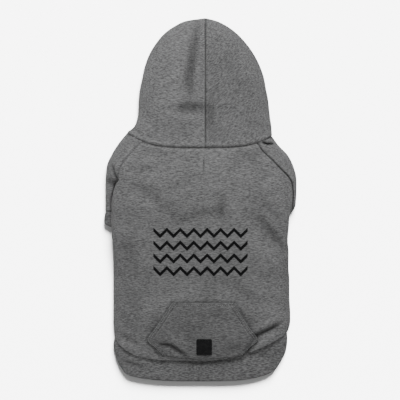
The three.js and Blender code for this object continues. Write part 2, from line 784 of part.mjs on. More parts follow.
// Pair of points of a thin piece that lies on another one.
function drapedPair(carrier, x, y, gap, thickness) {
  const z = heightOn(carrier, x, y) + gap;
  return { outer: new THREE.Vector3(x, y, z + thickness), inner: new THREE.Vector3(x, y, z) };
}

// Pouch pocket: its upper edge, slanted hand openings, side corners and narrower lower edge.
function pocket(back) {
  const columns = [-1, -0.75, -0.5, -0.25, 0, 0.25, 0.5, 0.75, 1];
  const grid = pocketRows.map((row) => {
    const slantedWidth = mix(pocketTopWidth, pocketWidth, row.slant);
    const width = slantedWidth + row.lower * (pocketBottomWidth - pocketWidth);
    const down = row.slant * pocketSlant + row.lower * pocketLower;
    return columns.map((column) => {
      const x = pocketOffset + (column * width) / 2;
      const gap = drapeGap + pocketPuff * row.puff * (1 - column ** 4);
      const hang = pocketBelly * row.hang * (1 - column ** 2);
      return drapedPair(back, x, neckY - pocketDrop - down - hang, gap, wall);
    });
  });
  return clothSolid(grid);
}

function label(pouch) {
  const shares = [-0.5, -0.17, 0.17, 0.5];
  const grid = shares.map((down) => shares.map((along) => {
    const x = labelOffset + along * labelWidth;
    const y = neckY - labelDrop - down * labelHeight;
    return drapedPair(pouch, x, y, layerGap, labelThickness);
  }));
  return clothSolid(grid);
}

// One printed zigzag row: a ribbon that starts and ends at an upper point.
function zigzagRow(back, number) {
  const y = neckY - zigzagDrop - number * zigzagSpacing;
  const stepsPerLeg = 2;
  const legs = 2 * zigzagPeriods;
  const slope = Math.atan2(zigzagRise, zigzagPitch / 2);
  const halfStroke = zigzagStroke / 2 / Math.cos(slope);
  const rows = [];
  for (let step = 0; step <= legs * stepsPerLeg; step += 1) {
    const along = step / stepsPerLeg;
    const x = (along - legs / 2) * (zigzagPitch / 2);
    const swing = Math.abs(((along + 1) % 2) - 1);
    const centre = y + zigzagRise * (0.5 - swing);
    rows.push([
      drapedPair(back, x, centre + halfStroke, layerGap, printThickness),
      drapedPair(back, x, centre - halfStroke, layerGap, printThickness),
    ]);
  }
  return clothSolid(rows, { flipped: true });
}

// Lens-shaped slit for the leash, as a prism through the back's upper layer.
function slitPrism() {
  const shape = new THREE.Shape();
  const half = slitLength / 2;
  shape.moveTo(0, -half);
  shape.quadraticCurveTo(slitWidth, 0, 0, half);
  shape.quadraticCurveTo(-slitWidth, 0, 0, -half);
  const depth = chestLoft;
  const prism = new THREE.ExtrudeGeometry(shape, { depth, bevelEnabled: false, curveSegments: 6 });
  prism.translate(slitOffset, neckY - slitDrop, chestLoft / 2);
  return prism;
}

const wasm = await Module();
wasm.setup();

function toManifold(geometry) {
  const bare = geometry.clone();
  bare.deleteAttribute("normal");
  bare.deleteAttribute("uv");
  const merged = mergeVertices(bare);
  const vertProperties = new Float32Array(merged.getAttribute("position").array);
  const triVerts = new Uint32Array(merged.getIndex().array);
  return new wasm.Manifold(new wasm.Mesh({ numProp: 3, vertProperties, triVerts }));
}

function toGeometry(solid) {
  const { vertProperties, triVerts } = solid.getMesh();
  const geometry = new THREE.BufferGeometry();
  geometry.setAttribute("position", new THREE.Float32BufferAttribute(vertProperties, 3));
  geometry.setIndex(Array.from(triVerts));
  return geometry;
}

const fleece = { color: 0x6f7073, roughness: 0.95, metalness: 0 };
const rib = { color: 0x626366, roughness: 0.95, metalness: 0 };
const print = { color: 0x17181a, roughness: 0.8, metalness: 0 };
const rubber = { color: 0x1b1b1c, roughness: 0.6, metalness: 0 };

const hoodie = new THREE.Group();

function addPiece(name, geometry, look) {
  const mesh = new THREE.Mesh(geometry, new THREE.MeshStandardMaterial(look));
  mesh.name = name;
  hoodie.add(mesh);
}

const back = backPanel();
const pouch = pocket(back);
addPiece("back_panel", toGeometry(toManifold(back).subtract(toManifold(slitPrism()))), fleece);
addPiece("belly_panel", bellyPanel(), fleece);
addPiece("left_sleeve", sleeve(LEFT), fleece);
addPiece("right_sleeve", sleeve(RIGHT), fleece);
addPiece("left_cuff", cuff(LEFT), rib);
addPiece("right_cuff", cuff(RIGHT), rib);
addPiece("hood_left", hoodHalfPanel(LEFT), fleece);
addPiece("hood_right", hoodHalfPanel(RIGHT), fleece);
addPiece("hem_band", hemBand(), rib);
addPiece("pocket", pouch, fleece);
addPiece("label", label(pouch), rubber);
for (let number = 0; number < zigzagCount; number += 1) {
  addPiece(`zigzag_row_${number + 1}`, zigzagRow(back, number), print);
}

// The origin is under the middle of the whole hoodie, on the floor.
const bounds = new THREE.Box3().setFromObject(hoodie);
const middle = bounds.getCenter(new THREE.Vector3());
hoodie.position.set(-middle.x, -middle.y, -bounds.min.z);

export default hoodie;
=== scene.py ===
"""Dog hoodie laid flat on its belly: fleece, rib, seams, print, label, floor, light and camera."""
import logging
import math
from dataclasses import dataclass, field
from enum import Enum
from functools import partial
from typing import Callable

import bpy
import numpy as np
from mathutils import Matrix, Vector, noise
from mathutils.bvhtree import BVHTree


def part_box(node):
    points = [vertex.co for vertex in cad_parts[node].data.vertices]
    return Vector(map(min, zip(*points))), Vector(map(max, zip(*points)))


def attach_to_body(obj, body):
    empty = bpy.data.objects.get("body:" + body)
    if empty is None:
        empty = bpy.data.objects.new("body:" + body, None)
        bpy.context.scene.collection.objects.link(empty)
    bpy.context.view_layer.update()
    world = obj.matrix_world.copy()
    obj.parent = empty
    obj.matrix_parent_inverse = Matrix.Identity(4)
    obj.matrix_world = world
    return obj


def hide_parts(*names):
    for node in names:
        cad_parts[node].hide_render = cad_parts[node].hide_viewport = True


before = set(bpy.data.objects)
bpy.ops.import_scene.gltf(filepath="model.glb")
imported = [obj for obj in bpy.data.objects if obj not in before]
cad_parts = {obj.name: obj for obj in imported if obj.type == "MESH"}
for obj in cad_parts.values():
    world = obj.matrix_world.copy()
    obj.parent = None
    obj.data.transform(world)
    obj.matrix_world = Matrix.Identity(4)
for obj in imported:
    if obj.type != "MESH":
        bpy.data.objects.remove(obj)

Array = np.ndarray
Piece = bpy.types.Object
Material = bpy.types.Material
Looks = dict[str, Material]
Pieces = dict[str, Piece]

LOG = logging.getLogger("hoodie")
MM = 0.001
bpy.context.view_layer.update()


# Shader maths


class Term:
    """A shader value that Python operators extend with Math nodes."""

    def __init__(self, bench: "NodeBench", socket: bpy.types.NodeSocket) -> None:
        """Wraps an output socket of a bench's node tree."""
        self.bench, self.socket = bench, socket

    def _with(self, operation: str, *values: "Term | float") -> "Term":
        """Returns a Math node's result on terms and numbers."""
        return self.bench.node("ShaderNodeMath", {"operation": operation}, dict(enumerate(values)))

    def __add__(self, other: "Term | float") -> "Term":
        """Returns self + other."""
        return self._with("ADD", self, other)

    def __mul__(self, other: "Term | float") -> "Term":
        """Returns self * other."""
        return self._with("MULTIPLY", self, other)

    def __rsub__(self, other: float) -> "Term":
        """Returns other - self."""
        return self._with("SUBTRACT", other, self)

    def sine(self) -> "Term":
        """Returns the sine of self."""
        return self._with("SINE", self)

    def ramp(self, low: float, high: float) -> "Term":
        """Returns 0 below low, 1 above high and a smooth step between."""
        settings = {"interpolation_type": "SMOOTHSTEP"}
        return self.bench.node("ShaderNodeMapRange", settings, {0: self, 1: low, 2: high})


class NodeBench:
    """One material's node tree, to which nodes are added by a single method."""

    def __init__(self, name: str) -> None:
        """Makes an empty material with an output and a Principled shader.

        Args:
            name: the material's name.
        """
        self.material = bpy.data.materials.new(name)
        self.material.use_nodes = True
        self.tree = self.material.node_tree
        self.tree.nodes.clear()
        self.shader = self.tree.nodes.new("ShaderNodeBsdfPrincipled")
        self.output = self.tree.nodes.new("ShaderNodeOutputMaterial")
        self.tree.links.new(self.shader.outputs[0], self.output.inputs[0])

    def node(self, kind: str, settings: dict, inputs: dict, out: int | str = 0) -> Term:
        """Adds a node, sets it up and links or fills its sockets.

        Args:
            kind: the node's type.
            settings: the node's own properties.
            inputs: a Term or a plain value for each named or numbered socket.
            out: the output socket that is wanted.

        Returns:
            The output as a term.
        """
        node = self.tree.nodes.new(kind)
        for key, value in settings.items():
            setattr(node, key, value)
        for key, value in inputs.items():
            self.put(node.inputs[key], value)
        return Term(self, node.outputs[out])

    def put(self, socket: bpy.types.NodeSocket, value: "Term | float | tuple") -> None:
        """Links a term to a socket, or sets the socket to a plain value."""
        if isinstance(value, Term):
            self.tree.links.new(value.socket, socket)
        else:
            socket.default_value = value

    def surface(self, **values: "Term | float | tuple") -> None:
        """Fills the Principled shader's sockets, named with underscores for spaces."""
        for key, value in values.items():
            self.put(self.shader.inputs[key.replace("_", " ")], value)

    def place(self, turn: float = 0.0, stretch: tuple = (1.0, 1.0, 1.0)) -> Term:
        """Returns object coordinates, turned about Z and stretched.

        Args:
            turn: the turn in degrees.
            stretch: the factor along each axis after the turn.
        """
        spot = self.node("ShaderNodeTexCoord", {}, {}, "Object")
        inputs = {"Vector": spot, "Rotation": (0, 0, math.radians(turn)), "Scale": stretch}
        return self.node("ShaderNodeMapping", {"vector_type": "TEXTURE"}, inputs)

    def grain(self, spot: Term, scale: float, detail: float = 2.0, rough: float = 0.5) -> Term:
        """Returns a noise pattern between 0 and 1.

        Args:
            spot: the coordinates it is laid on, in metres.
            scale: how many blotches there are to a metre.
            detail: how many finer layers lie over it.
            rough: how strong those layers are.
        """
        inputs = {"Vector": spot, "Scale": scale, "Detail": detail, "Roughness": rough}
        return self.node("ShaderNodeTexNoise", {}, inputs)

    def blend(self, share: "Term | float", first: "Term | tuple", second: "Term | tuple",
              way: str = "MIX") -> Term:
        """Returns a mix of two colours."""
        settings = {"data_type": "RGBA", "blend_type": way}
        return self.node("ShaderNodeMix", settings, {0: share, 6: first, 7: second}, 2)

    def grey(self, value: Term) -> Term:
        """Returns a grey colour of a value."""
        return self.node("ShaderNodeCombineColor", {}, {0: value, 1: value, 2: value})

    def knitted(self, colour: Term, relief: Term, depth: Term) -> Material:
        """Returns the material as soft brushed cotton, its colour multiplied by a depth of painted
        shade in creases and seams (and painted light on the body).
        """
        colour = self.blend(1.0, colour, self.grey(depth), "MULTIPLY")
        self.surface(Base_Color=colour, Roughness=0.95, Normal=relief, Sheen_Weight=0.12,
                     Sheen_Roughness=0.5, Specular_IOR_Level=0.1)
        return self.material

    def wear_and_crease_shade(self, crease: float) -> Term:
        """Returns the painted shade: 1 on plain cloth, less in a crease or seam line and more on a
        ridge as a painted highlight, by how much creases darken it.
        """
        deep = self.node("ShaderNodeAttribute", {"attribute_name": "crease"}, {}, "Fac")
        return 1.0 - deep * crease

    def bump(self, height: Term, strength: float, distance: float,
             over: Term | None = None) -> Term:
        """Returns a normal from a height in shares of a distance in metres."""
        inputs = {"Height": height, "Strength": strength, "Distance": distance}
        if over is not None:
            inputs["Normal"] = over
        return self.node("ShaderNodeBump", {}, inputs)


# Finishes


def toned(colour: tuple, tone: float = 1.0) -> tuple:
    """Returns a colour at a tone, with full opacity."""
    return (*(value * tone for value in colour), 1.0)


class Grain(Enum):
    """How the fleece's streaks lie on a piece, in degrees from the piece's width."""

    LEVEL = 0.0
    SLANTED = 32.0


@dataclass(frozen=True)
class Fleece:
    """Brushed heather fleece: short dark and light streaks over a mid grey."""

    name: str = "fleece"
    tone: float = 1.0
    grain: Grain = Grain.LEVEL
    dark: tuple = (0.066, 0.0662, 0.0668)
    light: tuple = (0.245, 0.2455, 0.2465)
    # painted light: how much brighter the end towards the hood is painted, as if nearer the light,
    # and where that ramp runs, in metres along Y
    upper: float = 1.0
    light_falloff_span: tuple = (-0.03, 0.06)
    # how strongly the painted crease shade darkens the colour
    crease: float = 0.36
    # length of the long streaks; length, width and depth of the yarn, clouds and fuzz, in metres
    streak: float = 0.0062
    yarn: tuple = (0.0030, 0.0010, 0.0010)
    cloud: tuple = (0.034, 0.014, 0.014)
    fuzz: tuple = (0.0006, 0.00045, 0.0006)
    # how much streaks, yarn and clouds count, and where their mix turns from dark to light
    counts: tuple = (0.57, 0.38, 0.05)
    contrast: tuple = (0.28, 0.72)

    def make(self) -> Material:
        """Returns the material."""
        bench = NodeBench(self.name)
        turn = self.grain.value
        streak = bench.grain(bench.place(turn, (self.streak, 0.0011, 0.0011)), 1.0, 2.0, 0.45)
        yarn = bench.grain(bench.place(turn, self.yarn), 1.0, 1.0, 0.5)
        cloud = bench.grain(bench.place(turn, self.cloud), 1.0, 3.0, 0.6)
        most, some, little = self.counts
        share = (streak * most + yarn * some + cloud * little).ramp(*self.contrast)
        colour = bench.blend(share, toned(self.dark, self.tone), toned(self.light, self.tone))
        fuzz = bench.grain(bench.place(0.0, self.fuzz), 1.0, 2.0, 0.6)
        relief = bench.bump(streak * 0.6 + yarn * 0.4, 0.5, 0.0007)
        relief = bench.bump(fuzz, 0.35, 0.0004, relief)
        # painted light: the colour brightens towards the hood, standing in for the light's falloff
        # down the body
        along = bench.node("ShaderNodeSeparateXYZ", {}, {0: bench.place()}, "Y")
        painted_light_falloff = along.ramp(*self.light_falloff_span) * (self.upper - 1.0) + 1.0
        return bench.knitted(colour, relief, bench.wear_and_crease_shade(self.crease) * painted_light_falloff)


@dataclass(frozen=True)
class RibKnit:
    """Heather rib knit: fine ribs along the piece, which the map's first axis crosses."""

    name: str = "rib_knit"
    # distance from rib to rib and from loop to loop along a rib, in millimetres
    pitch: float = 2.6
    loop: float = 1.9
    # radians to a decimetre at a pitch of 1 mm
    turns: float = 2 * math.pi * 100
    tone: float = 1.0
    dark: tuple = (0.066, 0.0662, 0.0668)
    light: tuple = (0.214, 0.2145, 0.2155)
    # how strongly the painted crease shade darkens the colour
    crease: float = 0.36
    # length, width and depth of the specks in metres, and where they turn from dark to light
    speck: tuple = (0.0046, 0.0013, 0.0013)
    contrast: tuple = (0.32, 0.69)
    # how much the ribs show in the colour
    ribbed: float = 0.07

    def make(self) -> Material:
        """Returns the material."""
        bench = NodeBench(self.name)
        spot = bench.node("ShaderNodeUVMap", {"uv_map": "knit"}, {})
        across = bench.node("ShaderNodeSeparateXYZ", {}, {0: spot}, "X")
        down = bench.node("ShaderNodeSeparateXYZ", {}, {0: spot}, "Y")
        wave = (across * (self.turns / self.pitch)).sine() * 0.5 + 0.5
        loop = (down * (self.turns / self.loop)).sine() * 0.5 + 0.5
        speck = bench.grain(bench.place(0.0, self.speck), 1.0, 2.0, 0.5)
        cloud = bench.grain(bench.place(), 34.0, 3.0, 0.55)
        plain = (speck * 0.86 + cloud * 0.14).ramp(*self.contrast)
        share = plain * (1.0 - self.ribbed) + wave * self.ribbed
        colour = bench.blend(share, toned(self.dark, self.tone), toned(self.light, self.tone))
        relief = bench.bump(wave * 0.8 + loop * wave * 0.2, 0.45, 0.0009)
        relief = bench.bump(speck, 0.45, 0.0007, relief)
        return bench.knitted(colour, relief, bench.wear_and_crease_shade(self.crease))


@dataclass(frozen=True)
class PrintInk:
    """Matte black print that the fleece's fibres roughen."""

    name: str = "print_ink"
    colour: tuple = (0.0045, 0.0045, 0.005)
    # the print's own lighter worn colour where fibres show through it
    wear_and_crease_shade: tuple = (0.012, 0.012, 0.0125)

    def make(self) -> Material:
        """Returns the material."""
        bench = NodeBench(self.name)
        fibre = bench.grain(bench.place(0.0, (0.0036, 0.0012, 0.0012)), 1.0, 3.0, 0.6)
        colour = bench.blend(fibre.ramp(0.5, 0.78), toned(self.colour), toned(self.wear_and_crease_shade))
        relief = bench.bump(fibre, 0.4, 0.0006)
        bench.surface(Base_Color=colour, Roughness=fibre * 0.2 + 0.72, Normal=relief,
                      Specular_IOR_Level=0.1)
        return bench.material


@dataclass(frozen=True)
class PatchRubber:
    """Soft black rubber of the bare patch, finely pebbled."""

    name: str = "patch_rubber"
    colour: tuple = (0.0045, 0.0045, 0.005)
    rubbed: tuple = (0.011, 0.011, 0.0115)

    def make(self) -> Material:
        """Returns the material."""
        bench = NodeBench(self.name)
        pebble = bench.grain(bench.place(), 1500.0, 2.0, 0.5)
        haze = bench.grain(bench.place(), 160.0, 3.0, 0.6)
        colour = bench.blend(haze.ramp(0.4, 0.75), toned(self.colour), toned(self.rubbed))
        bench.surface(Base_Color=colour, Roughness=haze * 0.2 + 0.55,
                      Normal=bench.bump(pebble, 0.25, 0.0002), Specular_IOR_Level=0.16)
        return bench.material


@dataclass(frozen=True)
class Thread:
    """Twisted sewing thread."""

    name: str = "grey_thread"
    colour: tuple = (0.34, 0.341, 0.343)
    shade: tuple = (0.14, 0.141, 0.142)

    def make(self) -> Material:
        """Returns the material."""
        bench = NodeBench(self.name)
        twist = bench.grain(bench.place(30.0, (0.0012, 0.0003, 0.0012)), 1.0, 1.0, 0.4)
        colour = bench.blend(twist.ramp(0.35, 0.65), toned(self.shade), toned(self.colour))
        bench.surface(Base_Color=colour, Roughness=0.75, Normal=bench.bump(twist, 0.5, 0.0002))
        return bench.material


@dataclass(frozen=True)
class PaperFloor:
    """Plain pale studio floor with a faint tooth."""

    name: str = "pale_floor"
    colour: tuple = (0.55, 0.55, 0.55)

    def make(self) -> Material:
        """Returns the material."""
        bench = NodeBench(self.name)
        tooth = bench.grain(bench.place(), 900.0, 2.0, 0.5)
        bench.surface(Base_Color=toned(self.colour), Roughness=0.9,
                      Normal=bench.bump(tooth, 0.05, 0.0001))
        return bench.material


# Sections and cloth


def bell(reach: Array | float, width: float) -> Array | float:
    """Returns 1 at a reach of 0, falling softly to nothing beyond a width."""
    return np.exp(-((reach / width) ** 2))


def laid(side: "Side", spots: Array, y: Array) -> Array:
    """Returns a section's points, (distance, height) each, on their side of the plan."""
    return np.stack([side.value * spots[:, 0], y, spots[:, 1]], 1)


def mixed(low: float, high: float, share: float | Array) -> float | Array:
    """Returns the value at a share of the way between two others."""
    return low + (high - low) * share


class Track:
    """A section line that is walked by its length."""

    def __init__(self, points: Array) -> None:
        """Measures the line.

        Args:
            points: its points as rows of (distance, height), in millimetres.
        """
        self.points = np.asarray(points, float)
        steps = np.hypot(*np.diff(self.points, axis=0).T)
        self.lengths = np.concatenate([[0.0], np.cumsum(steps)])
        self.length = float(self.lengths[-1])

    def at(self, lengths: Array) -> Array:
        """Returns the points at the given lengths."""
        return np.stack([np.interp(lengths, self.lengths, axis) for axis in self.points.T], 1)

    def length_at(self, distance: float) -> float:
        """Returns the length where the line first gets as far out as a distance."""
        return float(self.lengths[int(np.argmax(self.points[:, 0] >= distance))])


def crowned(start: float, width: float, level: float, rise: float, radius: float) -> Array:
    """Returns the upper half of a section: flat in the middle, rounded down to its fold.

    Args:
        start: distance at which it begins.
        width: how far it reaches from there to the fold.
        level: height of the fold.
        rise: height of the middle over the fold.
        radius: how soft the rounding is.
    """
    power = max(2.4, 2 * width * radius / rise**2)
    angle = np.linspace(0, math.pi / 2, 160)
    return np.stack([start + width * np.sin(angle) ** (2 / power), level + rise * np.cos(angle)], 1)


def arc(centre: float, level: float, radius: float, start: float, end: float) -> Array:
    """Returns an arc of a section about a centre, between two angles in degrees."""
    angle = np.radians(np.linspace(start, end, 25)[1:])
    return np.stack([centre + radius * np.cos(angle), level + radius * np.sin(angle)], 1)


def stations(*stretches: tuple[float, int]) -> Array:
    """Returns lengths that cut consecutive stretches, (end, steps) each, into equal steps."""
    lengths, start = [0.0], 0.0
    for end, steps in stretches:
        lengths.extend(np.linspace(start, end, steps + 1)[1:])
        start = end
    return np.array(lengths)


def lofted(rows: list[Array], step: float) -> Array:
    """Runs smooth curves through the matching points of a few rows.

    Args:
        rows: the rows, each with the same number of points in millimetres.
        step: about how far apart the rows of the result lie, in millimetres.

    Returns:
        The finer grid, as rows by points by three.
    """
    knots = np.stack(rows)
    gaps = np.linalg.norm(np.diff(knots, axis=0), axis=2).mean(1)
    mark = np.concatenate([[0.0], np.cumsum(gaps)])
    counts = np.maximum(1, np.round(gaps / step).astype(int))
    wanted = stations(*zip(mark[1:], counts))
    slope = np.diff(knots, axis=0) / gaps[:, None, None]
    tangent = np.zeros_like(knots)
    before, after = slope[:-1], slope[1:]
    product = before * after
    safe = np.where(product > 0, before + after, 1.0)
    tangent[1:-1] = np.where(product > 0, 2 * product / safe, 0.0)
    tangent[0], tangent[-1] = slope[0], slope[-1]
    index = np.clip(np.searchsorted(mark, wanted, side="right") - 1, 0, len(gaps) - 1)
    width = gaps[index][:, None, None]
    t = ((wanted - mark[index]) / gaps[index])[:, None, None]
    low, high = knots[index], knots[index + 1]
    rise_low, rise_high = tangent[index] * width, tangent[index + 1] * width
    square, cube = t**2, t**3
    return (low * (2 * cube - 3 * square + 1) + rise_low * (cube - 2 * square + t)
            + high * (3 * square - 2 * cube) + rise_high * (cube - square))


def normals_of(grid: Array) -> Array:
    """Returns a unit normal for each point of a grid, up where the rows run down the page."""
    along = np.gradient(grid, axis=1)
    down = np.gradient(grid, axis=0)
    normal = np.cross(down, along)
    size = np.linalg.norm(normal, axis=2, keepdims=True)
    return normal / np.maximum(size, 1e-9)


@dataclass(frozen=True)
class Fold:
    """A soft crease or ridge of the cloth, drawn as a line in plan."""

    line: tuple
    width: float
    depth: float
    steep: float = 1.0

    def nearest(self, plan: Array, steep: float) -> tuple[Array, Array]:
        """Returns how far points lie from the line, and how far along it, 0 to 1.

        Args:
            plan: points as (..., 2), in millimetres of the photo's plan.
            steep: what the distance counts on the line's left.
        """
        best = np.full(plan.shape[:-1], np.inf)
        share = np.zeros(plan.shape[:-1])
        points = np.array(self.line, float)
        steps = np.hypot(*np.diff(points, axis=0).T)
        whole, walked = steps.sum(), 0.0
        for start, end, length in zip(points[:-1], points[1:], steps):
            run = end - start
            t = np.clip(((plan - start) @ run) / length**2, 0, 1)
            offset = plan - start - t[..., None] * run
            side = np.sign(run[0] * offset[..., 1] - run[1] * offset[..., 0])
            reach = np.linalg.norm(offset, axis=-1) * np.where(side > 0, steep, 1.0)
            nearer = reach < best
            share = np.where(nearer, (walked + t * length) / whole, share)
            best = np.where(nearer, reach, best)
            walked += length
        return best, share

    def height(self, plan: Array) -> Array:
        """Returns how far the fold lifts the cloth at points, negative in a crease."""
        best, share = self.nearest(plan, self.steep)
        taper = np.sqrt(np.clip(np.sin(math.pi * np.clip(share, 0.02, 0.98)), 0, 1))
        return -self.depth * taper * bell(best, self.width)

    def mark(self, plan: Array) -> Array:
        """Returns the fold as a painted shade line only, which keeps its full depth to its ends."""
        return self.depth * bell(self.nearest(plan, 1.0)[0], self.width)


def painted_seam_line(reach: Array, width: float, strength: float) -> Array:
    """Returns the extra depth of the dark line in a seam: painted shade, which some callers
    subtract as a painted highlight.

    Args:
        reach: distances from the seam, in millimetres.
        width: of the line.
        strength: its depth in the middle.
    """
    return strength * bell(reach, width)


# painted shade: the lift in millimetres that counts as 1 in a crease's depth, and the least and
# most it may be; below 0 a ridge gets a painted highlight
DARK_LIFT = 2.6
DARK_LIMITS = (-0.35, 1.1)


def painted_crease_shade(lift: Array, lines: Array | float = 0.0,
            rows_after: int = 0) -> Array:
    """Returns how deep each point lies in a crease, from its lift in millimetres, as painted shade:
    darker in creases, lighter on ridges.

    Args:
        lift: the lift of the folds and seams.
        lines: extra depth of the seams' dark lines, painted shade, and a painted highlight where
            negative.
        rows_after: how many rows follow that repeat the last one.
    """
    depth = np.clip(-lift / DARK_LIFT, *DARK_LIMITS) + lines
    return np.concatenate([depth, np.repeat(depth[-1:], rows_after, axis=0)])


def rippled(plan: Array, size: float, depth: float, seed: float,
            stretch: float = 1.0) -> Array:
    """Returns small random waves of the cloth.

    Args:
        plan: points as (..., 2), in millimetres.
        size: about how long a wave is.
        depth: how high the waves are.
        seed: a number that picks the pattern.
        stretch: how much longer they are along X than along Y.

    Returns:
        The lift in millimetres.
    """
    flat = plan.reshape(-1, 2)
    values = [noise.fractal(Vector((x / size / stretch, y / size, seed)), 1.0, 2.0, 3)
              for x, y in flat]
    return depth * np.array(values).reshape(plan.shape[:-1])


def folded(folds: tuple, waves: tuple, plan: Array) -> Array:
    """Returns the lift of folds and of waves, (size, depth, seed, stretch) each, in plan."""
    lift = sum(fold.height(plan) for fold in folds)
    for wave in waves:
        lift = lift + rippled(plan, *wave)
    return lift


def painted_fold_shade(folds: tuple, plan: Array) -> Array:
    """Returns the painted shade lines of folds at points of the plan."""
    return sum(fold.mark(plan) for fold in folds)


def only(piece: Piece) -> None:
    """Leaves one object selected and active."""
    bpy.ops.object.select_all(action="DESELECT")
    piece.select_set(True)
    bpy.context.view_layer.objects.active = piece


def bake(piece: Piece, kind: str, **settings: object) -> None:
    """Adds a modifier with its settings and applies it."""
    only(piece)
    modifier = piece.modifiers.new(kind.lower(), kind)
    for key, value in settings.items():
        setattr(modifier, key, value)
    bpy.ops.object.modifier_apply(modifier=modifier.name)


def edited(piece: Piece, *steps: Callable[[], object]) -> None:
    """Runs edit-mode steps on the whole mesh of a piece."""
    only(piece)
    bpy.ops.object.mode_set(mode="EDIT")
    bpy.ops.mesh.select_all(action="SELECT")
    for step in steps:
        step()
    bpy.ops.object.mode_set(mode="OBJECT")


def added(name: str, primitive: Callable[..., object], **settings: object) -> Piece:
    """Adds a primitive and gives it a name."""
    bpy.ops.object.select_all(action="DESELECT")
    primitive(**settings)
    piece = bpy.context.active_object
    piece.name = piece.data.name = name
    return piece


def cloth(name: str, grid: Array, thickness: float, flipped: bool = False,
          knit: Array | None = None, crease: Array | None = None) -> Piece:
    """Makes a sheet of cloth from a grid of points and gives it its thickness inwards.

    Args:
        name: the piece's name.
        grid: the outer side's points in the plan's millimetres, in rows that run down the page.
        thickness: of the cloth, in millimetres.
        flipped: turns the sheet over, for rows that run from right to left.
        knit: the map's coordinates of each point, in decimetres.
        crease: how deep in a crease each point lies, 1 at most and negative on a ridge; the
            finishes paint it as shade, and as a highlight where negative.

    Returns:
        The finished piece.
    """
    rows, columns = grid.shape[:2]
    piece = added(name, bpy.ops.mesh.primitive_grid_add, size=1,
                  x_subdivisions=columns - 1, y_subdivisions=rows - 1)
    points = (grid + SHIFT)[::-1].reshape(-1, 3) * MM
    piece.data.vertices.foreach_set("co", points.astype(np.float32).ravel())
    layer = piece.data.uv_layers[0]
    layer.name = "knit"
    if knit is not None:
        corners = np.empty(len(piece.data.loops), np.int32)
        piece.data.loops.foreach_get("vertex_index", corners)
        spots = knit[::-1].reshape(-1, 2)[corners]
        layer.uv.foreach_set("vector", spots.astype(np.float32).ravel())
    if crease is not None:
        # the crease attribute holds the painted shade that the fleece and rib darken their colour
        # by
        wear_and_crease_shade = piece.data.attributes.new("crease", "FLOAT", "POINT")
        wear_and_crease_shade.data.foreach_set("value", crease[::-1].astype(np.float32).ravel())
    steps = [partial(bpy.ops.mesh.remove_doubles, threshold=2e-5)]
    if flipped:
        steps.append(bpy.ops.mesh.flip_normals)
    edited(piece, *steps)
    bake(piece, "SOLIDIFY", thickness=thickness * MM, offset=-1, use_rim=True)
    smooth(piece)
    return piece


def smooth(piece: Piece, degrees: float = 50.0) -> None:
    """Shades a piece smooth, with edges sharper than an angle kept."""
    only(piece)
    bpy.ops.object.shade_smooth_by_angle(angle=math.radians(degrees))


def knit_map(grid: Array) -> Array:
    """Returns lengths along and down a grid, in decimetres, for ribs that follow the piece."""
    along = np.linalg.norm(np.diff(grid, axis=1), axis=2).mean(0)
    down = np.linalg.norm(np.diff(grid, axis=0), axis=2).mean(1)
    u = np.concatenate([[0.0], np.cumsum(along)]) / 100
    v = np.concatenate([[0.0], np.cumsum(down)]) / 100
    return np.stack(np.meshgrid(u, v), 2)


def put_on(piece: Piece, material: Material) -> Piece:
    """Gives a piece its only material and returns it."""
    piece.data.materials.clear()
    piece.data.materials.append(material)
    return piece


@dataclass
class Carrier:
    """A finished surface that thin pieces and stitches are laid on."""

    piece: Piece
    tree: BVHTree = field(init=False)

    def __post_init__(self) -> None:
        """Builds the search tree of the surface."""
        mesh = self.piece.data
        points = [vertex.co.copy() for vertex in mesh.vertices]
        faces = [tuple(face.vertices) for face in mesh.polygons]
        self.tree = BVHTree.FromPolygons(points, faces)

    def height(self, x: float, y: float) -> float:
        """Returns the height of the surface's upper side over a point, in millimetres."""
        hit = self.tree.ray_cast(Vector((x * MM, y * MM, 0.2)), Vector((0, 0, -1)))
        if hit[0] is None:
            raise ValueError(f"{self.piece.name} has no surface at {x:.1f}, {y:.1f}")
        return hit[0].z / MM

    def heights(self, plan: Array) -> Array:
        """Returns the heights over many points of the plan."""
        heights = [self.height(x, y) for x, y in plan.reshape(-1, 2)]
        return np.array(heights).reshape(plan.shape[:-1])


# The garment's cut


class Side(Enum):
    """Which half of the garment, by its sign along X as it lies."""

    LEFT = -1
    RIGHT = 1


def sided(left: object, right: object) -> dict:
    """Returns a dataclass field that holds a value for each side."""
    return field(default_factory=lambda: {Side.LEFT: left, Side.RIGHT: right})


